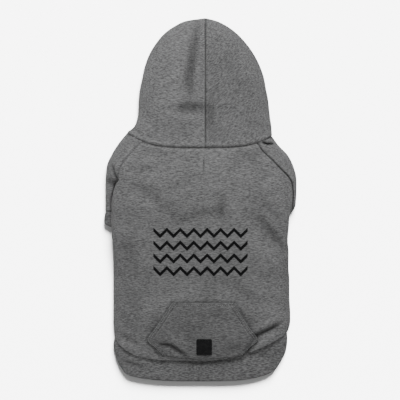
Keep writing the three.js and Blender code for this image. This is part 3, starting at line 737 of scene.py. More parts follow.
@dataclass(frozen=True)
class Cut:
    """Sizes and section tables that the sewn pieces share, in millimetres and shares of them."""

    back_length: float = 349.0
    body_width: float = 262.0
    neck_width: float = 214.0
    chest_loft: float = 26.0
    waist_loft: float = 20.0
    side_roll: float = 5.0
    body_roll: float = 8.0
    side_seam_place: float = 0.78
    sag_width: float = 0.5
    sag_depth: float = 0.6
    sleeve_show: float = 13.0
    sleeve_width: float = 58.0
    hood_height: float = 193.5
    hood_width: float = 199.4
    hood_loft: float = 24.0
    hood_roll: float = 6.5
    hood_seam: float = 7.5
    band_height: float = 37.0
    band_loft: float = 12.0
    overhang: float = 4.0
    layer_gap: float = 0.3
    seam_gap: float = 0.16
    wall: float = 1.9
    rib_wall: float = 2.3
    step: float = 2.0
    neck_rise: dict = sided(24.0, 18.0)
    hem_rise: dict = sided(31.0, 41.0)
    hem_bow: dict = sided(5.0, 2.1)
    # down, neck, hem, loft, lap
    body_rows: tuple = (
        (0, 1, 0, 0.85, 1), (0.031, 0.77, 0, 0.95, 1), (0.069, 0.55, 0, 1, 1),
        (0.114, 0.36, 0, 1, 1), (0.153, 0.18, 0, 1, 1), (0.178, 0.1, 0, 1, 1),
        (0.223, 0.03, 0, 1, 1), (0.274, 0, 0, 1, 1), (0.3, 0, 0, 0.95, 1),
        (0.322, 0, 0, 0.9, 1), (0.377, 0, 0, 0.85, 1), (0.441, 0, 0, 0.75, 1),
        (0.505, 0, 0, 0.6, 0.7), (0.569, 0, 0, 0.4, 0.3), (0.633, 0, 0, 0.2, 0),
        (0.697, 0, 0, 0.1, 0), (0.755, 0, 0, 0, 0), (0.813, 0, 0.13, 0, 0),
        (0.862, 0, 0.3, -0.05, 0), (0.907, 0, 0.52, -0.1, 0), (0.955, 0, 0.76, -0.3, 0),
        (1, 0, 1, -0.6, 0),
    )
    # fold, level, seam: None where the back has wrapped round its fold, "fold" where it ends there
    body_sides: dict = sided(
        (
            (0.08, 1, -0.196), (0.6, 0.65, -0.084), (1.11, 0.4, 0.083), (1.6, 0.3, 0.54),
            (0.95, 0.6, 0.69), (0.8, 1, None), (0.98, 1, None), (1.15, 1, None),
            (1.15, 1, None), (1.15, 1, None), (1.15, 1, None), (1.08, 1, None),
            (0.98, 0.7, None), (0.98, 0.3, None), (0.98, 0, None), (0.98, 0, None),
            (0.98, 0, None), (0.98, 0, None), (0.98, 0, None), (0.96, 0, None),
            (0.94, 0, None), (0.92, 0, None),
        ),
        (
            (0, 1, -0.21), (0.29, 0.65, -0.14), (0.94, 0.4, -0.009), (1.61, 0.2, 0.54),
            (1.96, 0.1, 1.115), (2, 0.1, 1.48), (2, 0.1, 1.6), (1.9, 0.25, 1.54),
            (1.4, 0.65, "fold"), (1.15, 1, None), (1.08, 1, None), (0.98, 1, None),
            (1.08, 0.7, None), (1.08, 0.3, None), (1.19, 0, None), (1.19, 0, None),
            (1.25, 0, None), (1.3, 0, None), (1.3, 0, None), (1.27, 0, None),
            (1.19, 0, None), (1.08, 0, None),
        ),
    )
    # tip: the outer fold; flat: share of the sleeve's width that is folded under
    sleeve_tops: dict = sided(
        ((0.08, 0.19), (0.6, 0.42), (1.11, 0.68), (1.73, 0.88), (1.85, 0.97), (1.88, 1)),
        (
            (0, 0.19), (0.42, 0.36), (1.06, 0.6), (1.7, 0.82), (1.99, 0.93), (2.02, 0.97),
            (2, 1), (1.9, 1), (1.6, 1), (1.23, 1),
        ),
    )

    @property
    def body_half(self) -> float:
        """Half the body's width."""
        return self.body_width / 2

    @property
    def neck_half(self) -> float:
        """Half the folded neck seam's width."""
        return self.neck_width / 2

    @property
    def hood_half(self) -> float:
        """Half the hood's width."""
        return self.hood_width / 2

    @property
    def panel_length(self) -> float:
        """Neck seam to hem band, along the middle."""
        return self.back_length - self.band_height

    @property
    def neck_y(self) -> float:
        """The neck seam's place along Y, with the whole length centred."""
        return self.back_length - (self.back_length + self.hood_height) / 2

    @property
    def roll_height(self) -> float:
        """Height of a flattened sleeve."""
        return 2 * self.side_roll

    @property
    def lap_height(self) -> float:
        """How high the body lies over the folded sleeves."""
        return self.roll_height + self.layer_gap

    @property
    def band_roll(self) -> float:
        """Radius of the band's side folds."""
        return self.band_loft / 2

    def across(self, station: float) -> float:
        """Returns a distance from the middle: 0 neck fold, 1 body fold, 2 sleeve's outer fold."""
        if station <= 0:
            return self.neck_half * (1 + station)
        if station <= 1:
            return mixed(self.neck_half, self.body_half, station)
        return self.body_half + self.sleeve_show * (station - 1)

    def armhole(self, side: Side) -> int:
        """Returns the body row at the armhole's lower end."""
        return len(self.sleeve_tops[side]) - 1

    def tip(self, side: Side, index: int) -> float:
        """Returns the sleeve's outer fold on a row."""
        return self.across(self.sleeve_tops[side][index][0])

    def tuck(self, side: Side, index: int) -> float:
        """Returns the sleeve's inner fold on a row."""
        return self.tip(side, index) - self.sleeve_tops[side][index][1] * self.sleeve_width

    def front_seam(self, side: Side, index: int) -> float:
        """Returns the seam between the sleeve and the belly panel on a row."""
        return (self.tip(side, index) + self.tuck(side, index)) / 2

    def side_seam(self, side: Side, index: int) -> float:
        """Returns the seam between the back and the belly panel, eased in below the armhole."""
        share = min(1.0, (index - self.armhole(side)) / 4)
        start = self.front_seam(side, self.armhole(side))
        return mixed(start, self.side_seam_place * self.body_half, share)

    def fold(self, side: Side, index: int) -> float:
        """Returns the body's side fold on a row."""
        return self.across(self.body_sides[side][index][0])

    def level(self, side: Side, index: int) -> float:
        """Returns the height of the side fold's middle on a row."""
        return self.side_roll + self.lap_height * self.body_sides[side][index][1]

    def seam(self, side: Side, index: int) -> float | str | None:
        """Returns the raglan seam's entry on a row."""
        return self.body_sides[side][index][2]

    def top(self, index: int) -> float:
        """Returns the back's height in the middle of a row."""
        return mixed(self.waist_loft, self.chest_loft, self.body_rows[index][3])

    def row_y(self, side: Side, index: int, distance: Array | float) -> Array | float:
        """Returns where a body row lies along Y at distances from the middle."""
        down, neck, hem = self.body_rows[index][:3]
        reached = self.tip if index <= self.armhole(side) else self.fold
        share = np.abs(distance) / reached(side, index)
        rise = self.neck_rise[side] * neck * share**4
        rise = rise + self.hem_rise[side] * hem * share ** self.hem_bow[side]
        return self.neck_y - down * self.panel_length + rise

    def crown(self, side: Side, index: int) -> Array:
        """Returns the upper half of the body's section on a row."""
        level = self.level(side, index)
        radius = self.side_roll if index == 0 else self.body_roll
        rise = self.top(index) - level
        return crowned(0.0, self.fold(side, index), level, rise, radius)

    def sag(self, index: int, x: Array | float) -> Array | float:
        """Returns how far the belly sags to the floor between the sleeves."""
        share = np.minimum(1.0, np.abs(x) / (self.sag_width * self.body_half))
        return self.sag_depth * self.lap_height * self.body_rows[index][4] * (1 - share**2) ** 2


CUT = Cut()


@dataclass(frozen=True)
class Seat:
    """Where the plan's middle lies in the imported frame, read from the label's node."""

    plan: tuple = (5.5, -219.25)
    # how high the cloth lies over the frame's floor
    lift: float = 0.05

    def shift(self) -> Array:
        """Returns the plan's shift in millimetres."""
        low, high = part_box("label")
        middle = (low + high) / 2 / MM
        return np.array([middle.x - self.plan[0], middle.y - self.plan[1], self.lift])


SHIFT = Seat().shift()


# Edges and seams


EDGES = ("first_row", "last_row", "first_column", "last_column")


def valley(reach: Array, depth: float = 1.5, width: float = 1.7,
           ridge: float = 0.5) -> Array:
    """Returns the lift beside a seam: down into it and up on a small ridge next to it.

    Args:
        reach: distances from the seam, in millimetres.
        depth: of the valley.
        width: of the valley.
        ridge: height of the ridge.
    """
    return ridge * bell(reach - 2.6 * width, 1.3 * width) - depth * bell(reach, width)


def edge_reach(grid: Array, edge: str) -> Array:
    """Returns each point's length from one edge of a grid, in millimetres.

    Args:
        grid: the grid's points.
        edge: first_row, last_row, first_column or last_column.
    """
    axis = 0 if "row" in edge else 1
    steps = np.linalg.norm(np.diff(grid, axis=axis), axis=2)
    pad = [(1, 0), (0, 0)] if axis == 0 else [(0, 0), (1, 0)]
    walked = np.cumsum(np.pad(steps, pad), axis=axis)
    if edge.startswith("first"):
        return walked
    return np.take(walked, [-1], axis=axis) - walked


def lifted(grid: Array, lift: Array, facing: float = 1.0) -> Array:
    """Returns a grid whose points are moved along its outward normals, in millimetres."""
    return grid + facing * normals_of(grid) * lift[..., None]


def topness(normal: Array) -> Array:
    """Returns 1 where a normal points straight up and 0 where it lies level or hangs."""
    return np.clip(normal[..., 2], 0, 1) ** 2


def drawn_back(grid: Array, gap: float, *edges: str) -> Array:
    """Returns a grid whose outermost rows or columns are drawn back from a seam.

    Args:
        grid: the grid's points.
        gap: how wide the seam is, in millimetres.
        edges: of first_row, last_row, first_column and last_column.
    """
    result = grid.copy()
    for edge in edges:
        lines = result if edge.endswith("row") else result.swapaxes(0, 1)
        at, inner = (0, 1) if edge.startswith("first") else (-1, -2)
        run = lines[inner] - lines[at]
        size = np.maximum(np.linalg.norm(run, axis=1, keepdims=True), gap / 2)
        lines[at] += gap / 2 * run / size
    return result


def grounded(grid: Array) -> Array:
    """Returns a grid with nothing below the floor."""
    return np.concatenate([grid[..., :2], np.maximum(grid[..., 2:], 0.0)], 2)


def turned_under(grid: Array, degrees: tuple, ahead: float, below: Array) -> Array:
    """Returns a grid whose last row is rolled on under itself.

    Args:
        grid: the grid's points.
        degrees: how far round each added row lies.
        ahead: how far the roll reaches down the page, in millimetres.
        below: its radius along each point's way down.
    """
    turns = []
    for angle in np.radians(degrees):
        turn = grid[-1] + below * (1 - math.cos(angle))
        turn[:, 1] -= ahead * math.sin(angle)
        turns.append(turn)
    return np.concatenate([grid, np.stack(turns)])


# Body


@dataclass
class Body:
    """The back and belly panels, with the leash slit cut through the back."""

    cut: Cut = CUT
    slit_place: tuple = (5.0, 51.0)
    slit_length: float = 22.0
    slit_width: float = 0.9
    folds: tuple = (
        # across the chest, under the left armhole
        Fold(((-112, 26), (-82, 15), (-58, -4), (-41, -26)), 9.0, 1.4, 1.4),
        Fold(((-110, 10), (-80, -8), (-60, -30)), 8.0, -0.9),
        Fold(((-41, -24), (-22, -29), (-4, -22), (16, -20), (37, -11)), 8.0, 1.6, 1.4),
        Fold(((32, 12), (30, -12), (34, -40)), 7.0, 1.6, 1.3),
        Fold(((52, 6), (50, -14), (52, -38)), 10.0, -0.8),
        # from the right armhole down the side
        Fold(((84, -20), (98, -38), (112, -56), (129, -76)), 8.0, 2.6, 1.5),
        Fold(((70, -52), (90, -76), (117, -106)), 9.0, -1.3),
        Fold(((92, -4), (106, -18), (128, -34)), 8.0, 1.4),
        Fold(((45, -120), (70, -140), (101, -161)), 9.0, 2.0, 1.3),
        Fold(((60, -128), (86, -150), (118, -172)), 9.0, -0.9),
        # down the left side
        Fold(((-122, -60), (-104, -84), (-92, -116)), 11.0, 1.3),
        Fold(((-118, -118), (-100, -150), (-94, -186)), 12.0, 1.1),
        Fold(((-126, -160), (-108, -186), (-90, -204)), 8.0, 1.1, 1.4),
        # thick fold that runs into the pocket's lower right corner
        Fold(((122, -184), (114, -188), (101, -195), (84, -203.5), (72, -224), (62, -240)),
             4.0, 5.2, 2.2),
        Fold(((116, -179), (100, -186), (88, -192)), 5.5, -1.6),
        Fold(((124, -196), (108, -203), (92, -212), (80, -228)), 5.5, -1.4),
        Fold(((-124, -196), (-108, -207), (-88, -218)), 5.5, 1.5, 1.6),
        Fold(((-126, -208), (-106, -219), (-86, -226)), 5.0, -0.8),
        # around the pocket
        Fold(((-62, -166), (-70, -186), (-88, -206)), 7.0, 1.1),
        Fold(((60, -160), (72, -180), (90, -200)), 7.0, 0.9),
        # below the neck seam
        Fold(((-82, 74), (-60, 66), (-38, 68)), 6.0, 0.8),
        Fold(((48, 70), (70, 66), (92, 52)), 7.0, 0.9),
        Fold(((-110, 52), (-92, 44), (-70, 46)), 7.0, 0.8),
    )
    # painted shadow: dark lines round the pocket's seams and along the thick fold
    marks: tuple = (
        Fold(((-42, -151.4), (52, -151.4)), 1.6, 0.75),
        Fold(((-42.5, -151.5), (-81.5, -208.5), (-58, -236)), 1.7, 1.0),
        Fold(((51.5, -151.5), (87.0, -208.5), (66, -236)), 1.7, 1.0),
        Fold(((116, -188), (101, -195), (86, -204)), 2.4, 0.6),
    )
    waves: tuple = ((34.0, 0.9, 3.1, 1.5), (11.0, 0.3, 8.4, 1.8))
    # the cloth lies flat this near the neck seam
    calm: float = 14.0
    # steps of a half row: over the top, round the fold and underneath
    steps: tuple = (56, 14, 8)
    # valley and painted shade line of each raglan and side seam
    side_seams: tuple = (("first_column", 0.45, 0.1), ("last_column", 1.4, 0.85))
    # how the lower edge is turned under: degrees, forward and down
    hem_turns: tuple = (25, 50, 75, 100, 125)
    hem_roll: tuple = (1.9, 2.4)
    # where the slit's cutter starts and how tall it is
    cutter: tuple = (14.0, 20.0)

    def build(self, looks: Looks) -> Pieces:
        """Makes and dresses the two panels."""
        back = self.back()
        self.cut_slit(back)
        return {"back": put_on(back, looks["fleece_body"]),
                "belly": put_on(self.belly(), looks["fleece_body"])}

    def half_row(self, side: Side, index: int) -> Array:
        """Returns one half of a back row, from the middle to its free edge."""
        cut, roll = self.cut, self.cut.side_roll
        crown = cut.crown(side, index)
        fold, level, seam = cut.fold(side, index), cut.level(side, index), cut.seam(side, index)
        points = [crown]
        if seam is None:
            points += [arc(fold - roll, level, roll, 0, -90),
                       np.array([[cut.side_seam(side, index), level - roll]])]
        track = Track(np.concatenate(points))
        end = track.length_at(cut.across(seam)) if isinstance(seam, (int, float)) else track.length
        rounded = track.lengths[len(crown) - 1] + roll * math.pi / 2
        start = min(track.length_at(fold - 2 * roll), 0.93 * end)
        turn = min(rounded, 0.98 * end)
        spots = track.at(stations(*zip((start, turn, end), self.steps)))
        y = cut.row_y(side, index, spots[:, 0])
        if index == len(cut.body_rows) - 1:
            y = y - cut.overhang * np.clip((spots[:, 1] - level) / (cut.top(index) - level), 0, 1)
        return laid(side, spots, y)

    def back(self) -> Piece:
        """Returns the back panel, from its left free edge over the top to its right one."""
        cut = self.cut
        rows = []
        for index in range(len(cut.body_rows)):
            left = self.half_row(Side.LEFT, index)[:0:-1]
            rows.append(np.concatenate([left, self.half_row(Side.RIGHT, index)]))
        grid = drawn_back(lofted(rows, cut.step), cut.seam_gap,
                          "first_row", "first_column", "last_column")
        up = topness(normals_of(grid))
        plan = grid[..., :2]
        neck = edge_reach(grid, "first_row")
        lift = folded(self.folds, self.waves, plan) * up * np.clip(neck / self.calm, 0, 1)
        lift = lift + valley(neck) * up
        # painted shade along the neck seam, the side seams and round the pocket
        lines = painted_seam_line(neck, 1.5, 1.1) * np.clip(1.05 - np.abs(plan[..., 0] + 20) / 260, 0, 1)
        for edge, depth, mark in self.side_seams:
            reach = edge_reach(grid, edge)
            lift = lift + valley(reach, depth, 1.4, 0.45) * np.maximum(up, 0.3)
            lines = lines + painted_seam_line(reach, 0.9, mark)
        lines = lines + painted_fold_shade(self.marks, plan)
        grid = lifted(grid, lift)
        forward, down = self.hem_roll
        grid = turned_under(grid, self.hem_turns, forward, -down * normals_of(grid)[-1])
        return cloth("back_panel_cloth", grounded(grid), cut.wall,
                     crease=painted_crease_shade(lift, lines, len(self.hem_turns)))

    def slit_half(self, share: Array) -> Array:
        """Returns half the slit's width from its lower end, -1, to its upper one, 1."""
        return self.slit_width / 2 * (1 - share**4) * (0.72 + 0.28 * np.tanh(4 * share))

    def cut_slit(self, back: Piece) -> None:
        """Cuts the lens-shaped leash slit through the back's upper layer."""
        half = self.slit_length / 2
        share = np.linspace(-1, 1, 17)
        bulge = self.slit_half(share)
        ring = [(b, s * half) for b, s in zip(bulge, share)]
        ring += [(-b, s * half) for b, s in list(zip(bulge, share))[-2:0:-1]]
        cutter = added("slit_cutter", bpy.ops.mesh.primitive_circle_add,
                       vertices=len(ring), radius=1, fill_type="NGON")
        middle = np.array(self.slit_place) + SHIFT[:2]
        start, height = self.cutter
        for vertex, (x, y) in zip(cutter.data.vertices, ring):
            vertex.co = Vector((middle[0] + x, middle[1] + y, start)) * MM
        rise = {"value": (0, 0, height * MM)}
        edited(cutter,
               partial(bpy.ops.mesh.extrude_region_move, TRANSFORM_OT_translate=rise),
               partial(bpy.ops.mesh.select_all, action="SELECT"),
               partial(bpy.ops.mesh.normals_make_consistent, inside=False))
        bake(back, "BOOLEAN", operation="DIFFERENCE", solver="EXACT", object=cutter)
        bpy.data.objects.remove(cutter, do_unlink=True)

    def belly(self) -> Piece:
        """Returns the belly panel, whose outer side faces the floor."""
        cut = self.cut
        shares = np.linspace(-1, 1, 97)
        rows = []
        for index, row in enumerate(cut.body_rows):
            edges = {}
            for side in Side:
                reach = cut.front_seam if index < cut.armhole(side) else cut.side_seam
                edges[side] = reach(side, index)
            x = np.where(shares < 0, shares * edges[Side.LEFT], shares * edges[Side.RIGHT])
            y = np.where(shares < 0, cut.row_y(Side.LEFT, index, x),
                         cut.row_y(Side.RIGHT, index, x))
            rows.append(np.stack([x, y, cut.lap_height * row[4] - cut.sag(index, x)], 1))
        grid = drawn_back(lofted(rows, 3.0), cut.seam_gap, *EDGES)
        reach = np.minimum(edge_reach(grid, "first_column"), edge_reach(grid, "last_column"))
        waves = np.clip(rippled(grid[..., :2], 26, 1, 5.5), -1, 1)
        dents = valley(reach, 0.9, 1.4, 0.0) + 0.25 * waves
        grid[..., 2] = grid[..., 2] - np.minimum(dents, 0)
        return cloth("belly_panel_cloth", grid, cut.wall, flipped=True)


# Sleeves and cuffs


@dataclass
class Sleeve:
    """One raglan sleeve, folded in under the chest, with its rib cuff."""

    side: Side
    length: float
    ends: tuple
    folds: tuple
    # painted shade lines, drawn as folds
    marks: tuple
    seam_depth: float
    corner: float
    cuff_height: float = 23.0
    cuff_width: float = 63.0
    waves: tuple = ((15, 0.35, 6.6, 0.8),)
    # steps of a section: top, outer fold, floor, inner fold and back to the seam
    steps: tuple = (26, 8, 12, 12, 8)
    # of the cuff: share of its height, and how far its outer fold is drawn in
    cuff_rows: tuple = ((0.012, 1.0), (0.5, 0.2), (1, 0.1))
    cut: Cut = CUT

    @property
    def name(self) -> str:
        """The side in lower case, for the pieces' names."""
        return self.side.name.lower()

    @property
    def flipped(self) -> bool:
        """Whether the rows run from right to left."""
        return self.side is Side.LEFT

    @property
    def facing(self) -> float:
        """Turns a grid's normals outward."""
        return -1.0 if self.flipped else 1.0

    def build(self, looks: Looks) -> Pieces:
        """Makes and dresses the sleeve and its cuff."""
        return {f"{self.name}_sleeve": put_on(self.tube(), looks["fleece_sleeve"]),
                f"{self.name}_cuff": put_on(self.cuff(), looks["rib_cuff"])}

    def section(self, seam: float, seam_z: float, tip: float, tuck: float,
                front: float) -> tuple[Track, Array]:
        """Returns a section from the upper seam round the outer fold, along the floor and back."""
        roll = self.cut.side_roll
        top = crowned(seam, tip - seam, roll, seam_z - roll, roll)
        outside = arc(tip - roll, roll, roll, 0, -90)
        inside = arc(tuck + roll, roll, roll, -90, -270)
        track = Track(np.concatenate([
            top, outside, [[tuck + roll, 0]], inside, [[front, self.cut.roll_height]]]))
        marks = np.cumsum([len(top) - 1, len(outside), 1, len(inside)])
        return track, stations(*zip((*track.lengths[marks], track.length), self.steps))

    def seam_point(self, index: int) -> tuple[float, float]:
        """Returns the distance and height of the back's free edge on a row of the armhole."""
        cut, seam = self.cut, self.cut.seam(self.side, index)
        if seam is None:
            return cut.side_seam(self.side, index), cut.roll_height
        if seam == "fold":
            return cut.fold(self.side, index), cut.level(self.side, index) - cut.layer_gap
        crown = cut.crown(self.side, index)
        distance, height = crown[int(np.argmax(crown[:, 0] >= cut.across(seam)))]
        return float(distance), float(height)

    def end_place(self, spots: Array, end: tuple, beyond: float = 0.0) -> Array:
        """Puts a section, measured inward from its outer fold, at one place down the free sleeve.

        Args:
            spots: the section's points.
            end: the place, as along, inward and turn.
            beyond: how much further down it lies, in millimetres.
        """
        cut, armhole = self.cut, self.cut.armhole(self.side)
        along, inward, degrees = end
        turn = math.radians(degrees)
        x = cut.tip(self.side, armhole) - inward * cut.sleeve_width - beyond * math.sin(turn)
        y = cut.row_y(self.side, armhole, 0) - along * self.length - beyond * math.cos(turn)
        flat = spots[:, 0]
        return np.stack([self.side.value * (x + flat * math.cos(turn)),
                         y - flat * math.sin(turn), spots[:, 1]], 1)

    def tube(self) -> Piece:
        """Returns the sleeve."""
        cut, side = self.cut, self.side
        rows = []
        for index in range(cut.armhole(side) + 1):
            seam, seam_z = self.seam_point(index)
            tuck = cut.tuck(side, index)
            front = max(cut.front_seam(side, index), tuck + cut.side_roll + 0.6)
            track, lengths = self.section(seam, seam_z, cut.tip(side, index), tuck, front)
            spots = track.at(lengths)
            y = cut.row_y(side, index, spots[:, 0])
            rows.append(laid(side, spots, y))
        half = -cut.sleeve_width / 2
        for end in self.ends:
            track, lengths = self.section(half, cut.roll_height, 0, -cut.sleeve_width, half)
            rows.append(self.end_place(track.at(lengths), end))
        grid = drawn_back(lofted(rows, cut.step), cut.seam_gap, *EDGES)
        plan = grid[..., :2]
        raglan, end = edge_reach(grid, "first_column"), edge_reach(grid, "last_row")
        lift = valley(raglan, self.seam_depth, 1.4, 0.4)
        lift = lift + valley(edge_reach(grid, "last_column"), 0.7, 1.4, 0.0)
        lift = lift + valley(end, 0.9, 1.3, 0.3)
        # painted shade along the raglan and end seams and along the marked folds
        lines = painted_seam_line(raglan, 1.0, self.seam_depth - 0.3) + painted_seam_line(end, 1.2, 0.9)
        lines = lines + painted_fold_shade(self.marks, plan)
        up = topness(self.facing * normals_of(grid))
        lift = lift + up * folded(self.folds, self.waves, plan)
        grid = grounded(lifted(grid, lift, self.facing))
        return cloth(f"{self.name}_sleeve_cloth", grid, cut.wall, self.flipped,
                     crease=painted_crease_shade(lift, lines))

    def cuff(self) -> Piece:
        """Returns the rib cuff, a flattened ring at the sleeve's end."""
        proud = (self.cuff_width - self.cut.sleeve_width) / 2
        tip, tuck = proud, proud - self.cuff_width
        half = (tip + tuck) / 2
        track, lengths = self.section(half, self.cut.roll_height, tip, tuck, half)
        spots = track.at(lengths)
        near = np.clip(1 - (tip - spots[:, 0]) / 15, 0, 1)
        rows = []
        for share, narrow in self.cuff_rows:
            drawn_in = spots - np.stack([narrow * proud * near, 0 * near], 1)
            beyond = share * (self.cuff_height - share * self.corner * near**2)
            rows.append(self.end_place(drawn_in, self.ends[-1], beyond))
        grid = lofted(rows, 1.6)
        lift = valley(edge_reach(grid, "first_row"), 1.1, 1.3, 0.35)
        lift = lift - 0.5 * (edge_reach(grid, "last_row") < 1.0)
        grid = grounded(lifted(grid, lift, self.facing))
        return cloth(f"{self.name}_cuff_rib", grid, self.cut.rib_wall, self.flipped,
                     knit_map(grid), painted_crease_shade(lift))


# Hood


@dataclass
class Hood:
    """The hood's two halves, which meet at the centre seam."""

    cut: Cut = CUT
    # spine, left, right, up, bend, under, flap
    rows: tuple = (
        (0, 0, 0, 0, 4, 1, 0.93), (0.08, 0.995, 1.066, 0.167, 3, 0.55, 0.8),
        (0.17, 0.949, 1.05, 0.229, 2.4, 0.2, 0.68), (0.27, 0.934, 1.035, 0.301, 2, 0, 0.6),
        (0.36, 0.929, 1.02, 0.373, 1.4, 0, 0.55), (0.45, 0.914, 0.99, 0.451, 1, 0, 0.52),
        (0.45, 0.878, 0.959, 0.539, 1, 0, 0.5), (0.45, 0.838, 0.898, 0.632, 1, 0, 0.46),
        (0.45, 0.772, 0.807, 0.725, 1, 0, 0.41), (0.45, 0.68, 0.7, 0.804, 1, 0, 0.36),
        (0.45, 0.558, 0.563, 0.881, 1, 0, 0.3), (0.45, 0.406, 0.416, 0.94, 1, 0, 0.24),
        (0.45, 0.223, 0.245, 0.985, 1, 0, 0.18), (0.45, None, None, 1.008, 1, 0, 0.14),
    )
    folds: tuple = (
        Fold(((-2, 282), (-5, 255), (-11, 217), (-15, 182), (-13, 156)), 6.5, 3.0, 1.3),
        Fold(((-12, 212), (-18, 180), (-14, 142)), 9.0, 1.5, 1.2),
        Fold(((-38, 136.5), (-12, 137), (9, 138)), 9.5, 4.0, 1.3),
        Fold(((-34, 122), (-10, 123), (6, 124)), 6.0, -1.0),
        Fold(((14, 146), (14, 122), (17, 98)), 9.0, 2.2, 1.2),
        Fold(((-108, 108), (-96, 104), (-84, 94)), 4.0, 2.2, 1.5),
        Fold(((-26, 232), (-34, 196), (-36, 166)), 13.0, -1.0),
        Fold(((40, 220), (52, 190), (56, 160)), 14.0, 0.8),
        Fold(((62, 118), (80, 110), (98, 106)), 8.0, 1.0),
        Fold(((-84, 128), (-62, 112), (-40, 106)), 9.0, 0.9),
    )
    waves: tuple = ((30.0, 0.7, 7.7, 1.2), (10.0, 0.25, 1.9, 1.6))
    # the cloth lies flat this near the neck seam
    calm: float = 12.0
    # the small ridge beside the centre seam
    ridges: dict = sided(1.0, 0.3)
    # steps of a section: the first length, then over the top, round the fold and underneath
    first: float = 3.0
    steps: tuple = (5, 42, 18, 16)
    # the seam allowance: how far it reaches past the neck seam and below it
    allowance: tuple = (1.3, 0.3)
    # more than any seam's reach
    far: float = 99.0

    def build(self, looks: Looks) -> Pieces:
        """Makes and dresses the two halves."""
        return {"hood_left": put_on(self.half(Side.LEFT), looks["fleece_hood"]),
                "hood_right": put_on(self.half(Side.RIGHT), looks["fleece_hood_slanted"])}

    def spots(self, track: Track, crown: int, turned: int) -> Array:
        """Returns evenly spread points of a hood section with the given point counts."""
        fold_end = track.lengths[crown + turned]
        fold_start = track.lengths[crown] - 2 * self.cut.side_roll
        ends = (self.first, fold_start, fold_end, track.length)
        return track.at(stations(*zip(ends, self.steps)))

    def neck_row(self, side: Side) -> Array:
        """Returns the first row, which follows the neck seam and the back's section there."""
        cut, roll = self.cut, self.cut.side_roll
        start = side.value * cut.hood_seam
        fold, level = cut.fold(side, 0), cut.level(side, 0)
        crown = cut.crown(side, 0)
        crown = crown[crown[:, 0] > abs(start)]
        under = fold - self.rows[0][6] * (fold - start)
        turned = arc(fold - roll, level, roll, 0, -90)
        track = Track(np.concatenate([
            [[start, crown[0][1]]], crown, turned, [[under, cut.lap_height]]]))
        spots = self.spots(track, len(crown), len(turned))
        x = side.value * spots[:, 0]
        sag = np.where(spots[:, 1] < level, cut.sag(0, x), 0.0)
        return np.stack([x, cut.row_y(side, 0, spots[:, 0]), spots[:, 1] - sag], 1)

    def fan_row(self, side: Side, row: tuple) -> Array:
        """Returns a row that runs from the centre seam over the side fold to the face opening."""
        cut, roll = self.cut, self.cut.side_roll
        spine_up, left, right, up, bend, under, flap = row
        share = left if side is Side.LEFT else right
        spine = np.array([cut.hood_seam, cut.neck_y + spine_up * cut.hood_height])
        x = cut.hood_seam if share is None else side.value * share * cut.hood_half
        fold = np.array([x, cut.neck_y + up * cut.hood_height])
        width = float(np.linalg.norm(fold - spine))
        level = roll + under * cut.lap_height
        crown = crowned(0.0, width, level, cut.hood_loft - level, cut.hood_roll)
        turned = arc(width - roll, level, roll, 0, -90)
        track = Track(np.concatenate([crown, turned, [[width * (1 - flap), level - roll]]]))
        spots = self.spots(track, len(crown) - 1, len(turned))
        part = spots[:, 0] / width
        y = mixed(spine[1], fold[1], np.maximum(0, part) ** bend)
        return np.stack([mixed(spine[0], fold[0], part), y, spots[:, 1]], 1)

    def half(self, side: Side) -> Piece:
        """Returns one half of the hood."""
        cut = self.cut
        rows = [self.neck_row(side)] + [self.fan_row(side, row) for row in self.rows[1:]]
        grid = lofted(rows, cut.step)
        reach_seam = self.seam_reach(grid)
        grid = drawn_back(grid, cut.seam_gap, "first_row")
        normal = -side.value * normals_of(grid)
        normal[reach_seam < 0.8] = (0, 0, 1)
        up = topness(normal)
        neck = edge_reach(grid, "first_row")
        lift = folded(self.folds, self.waves, grid[..., :2])
        lift = lift * up * np.clip(neck / self.calm, 0, 1)
        lift = lift + valley(neck, 1.5, 1.7, 0.55) * up
        lift = lift + valley(reach_seam, 1.3, 1.0, self.ridges[side]) * up
        # painted shade along the neck seam and the centre seam
        lines = painted_seam_line(neck, 1.1, 0.7) + painted_seam_line(reach_seam, 0.6, 1.2) * np.clip(neck / 20, 0.2, 1)
        hem = edge_reach(grid, "last_column")
        lift = lift + 0.5 * bell(hem - 7, 6) - 0.45 * bell(hem - 14, 1.2)
        grid = grid + normal * lift[..., None]
        grid[..., 0] -= side.value * 0.1 * np.clip(1 - reach_seam / 2, 0, 1)
        depth = painted_crease_shade(lift, lines)
        grid = grounded(self.tucked(grid, normal[0]))
        return cloth(f"hood_{side.name.lower()}_cloth", grid, cut.wall, side is Side.RIGHT,
                     crease=np.concatenate([depth[:1], depth]))

    def tucked(self, grid: Array, normal: Array) -> Array:
        """Returns a grid with the neck seam's allowance before its first row.

        Args:
            grid: the half's outer side.
            normal: the outward direction at each point of the first row.
        """
        past, below = self.allowance
        ahead = grid[0] - grid[1]
        ahead = ahead / np.maximum(np.linalg.norm(ahead, axis=1, keepdims=True), 1e-6)
        edge = grid[0] + past * ahead - (self.cut.wall + below) * normal
        return np.concatenate([edge[None], grid])

    def seam_reach(self, grid: Array) -> Array:
        """Returns each upper point's distance from the centre seam, and far away underneath."""
        cut, (first, top, turn, _) = self.cut, self.steps
        reach = np.abs(grid[..., 0] - cut.hood_seam)
        under = np.arange(grid.shape[1])[None, :] > first + top + turn // 2
        below_tip = grid[..., 1] < cut.neck_y + 0.9 * cut.hood_height
        return np.where(under & below_tip, self.far, reach)


# Hem band


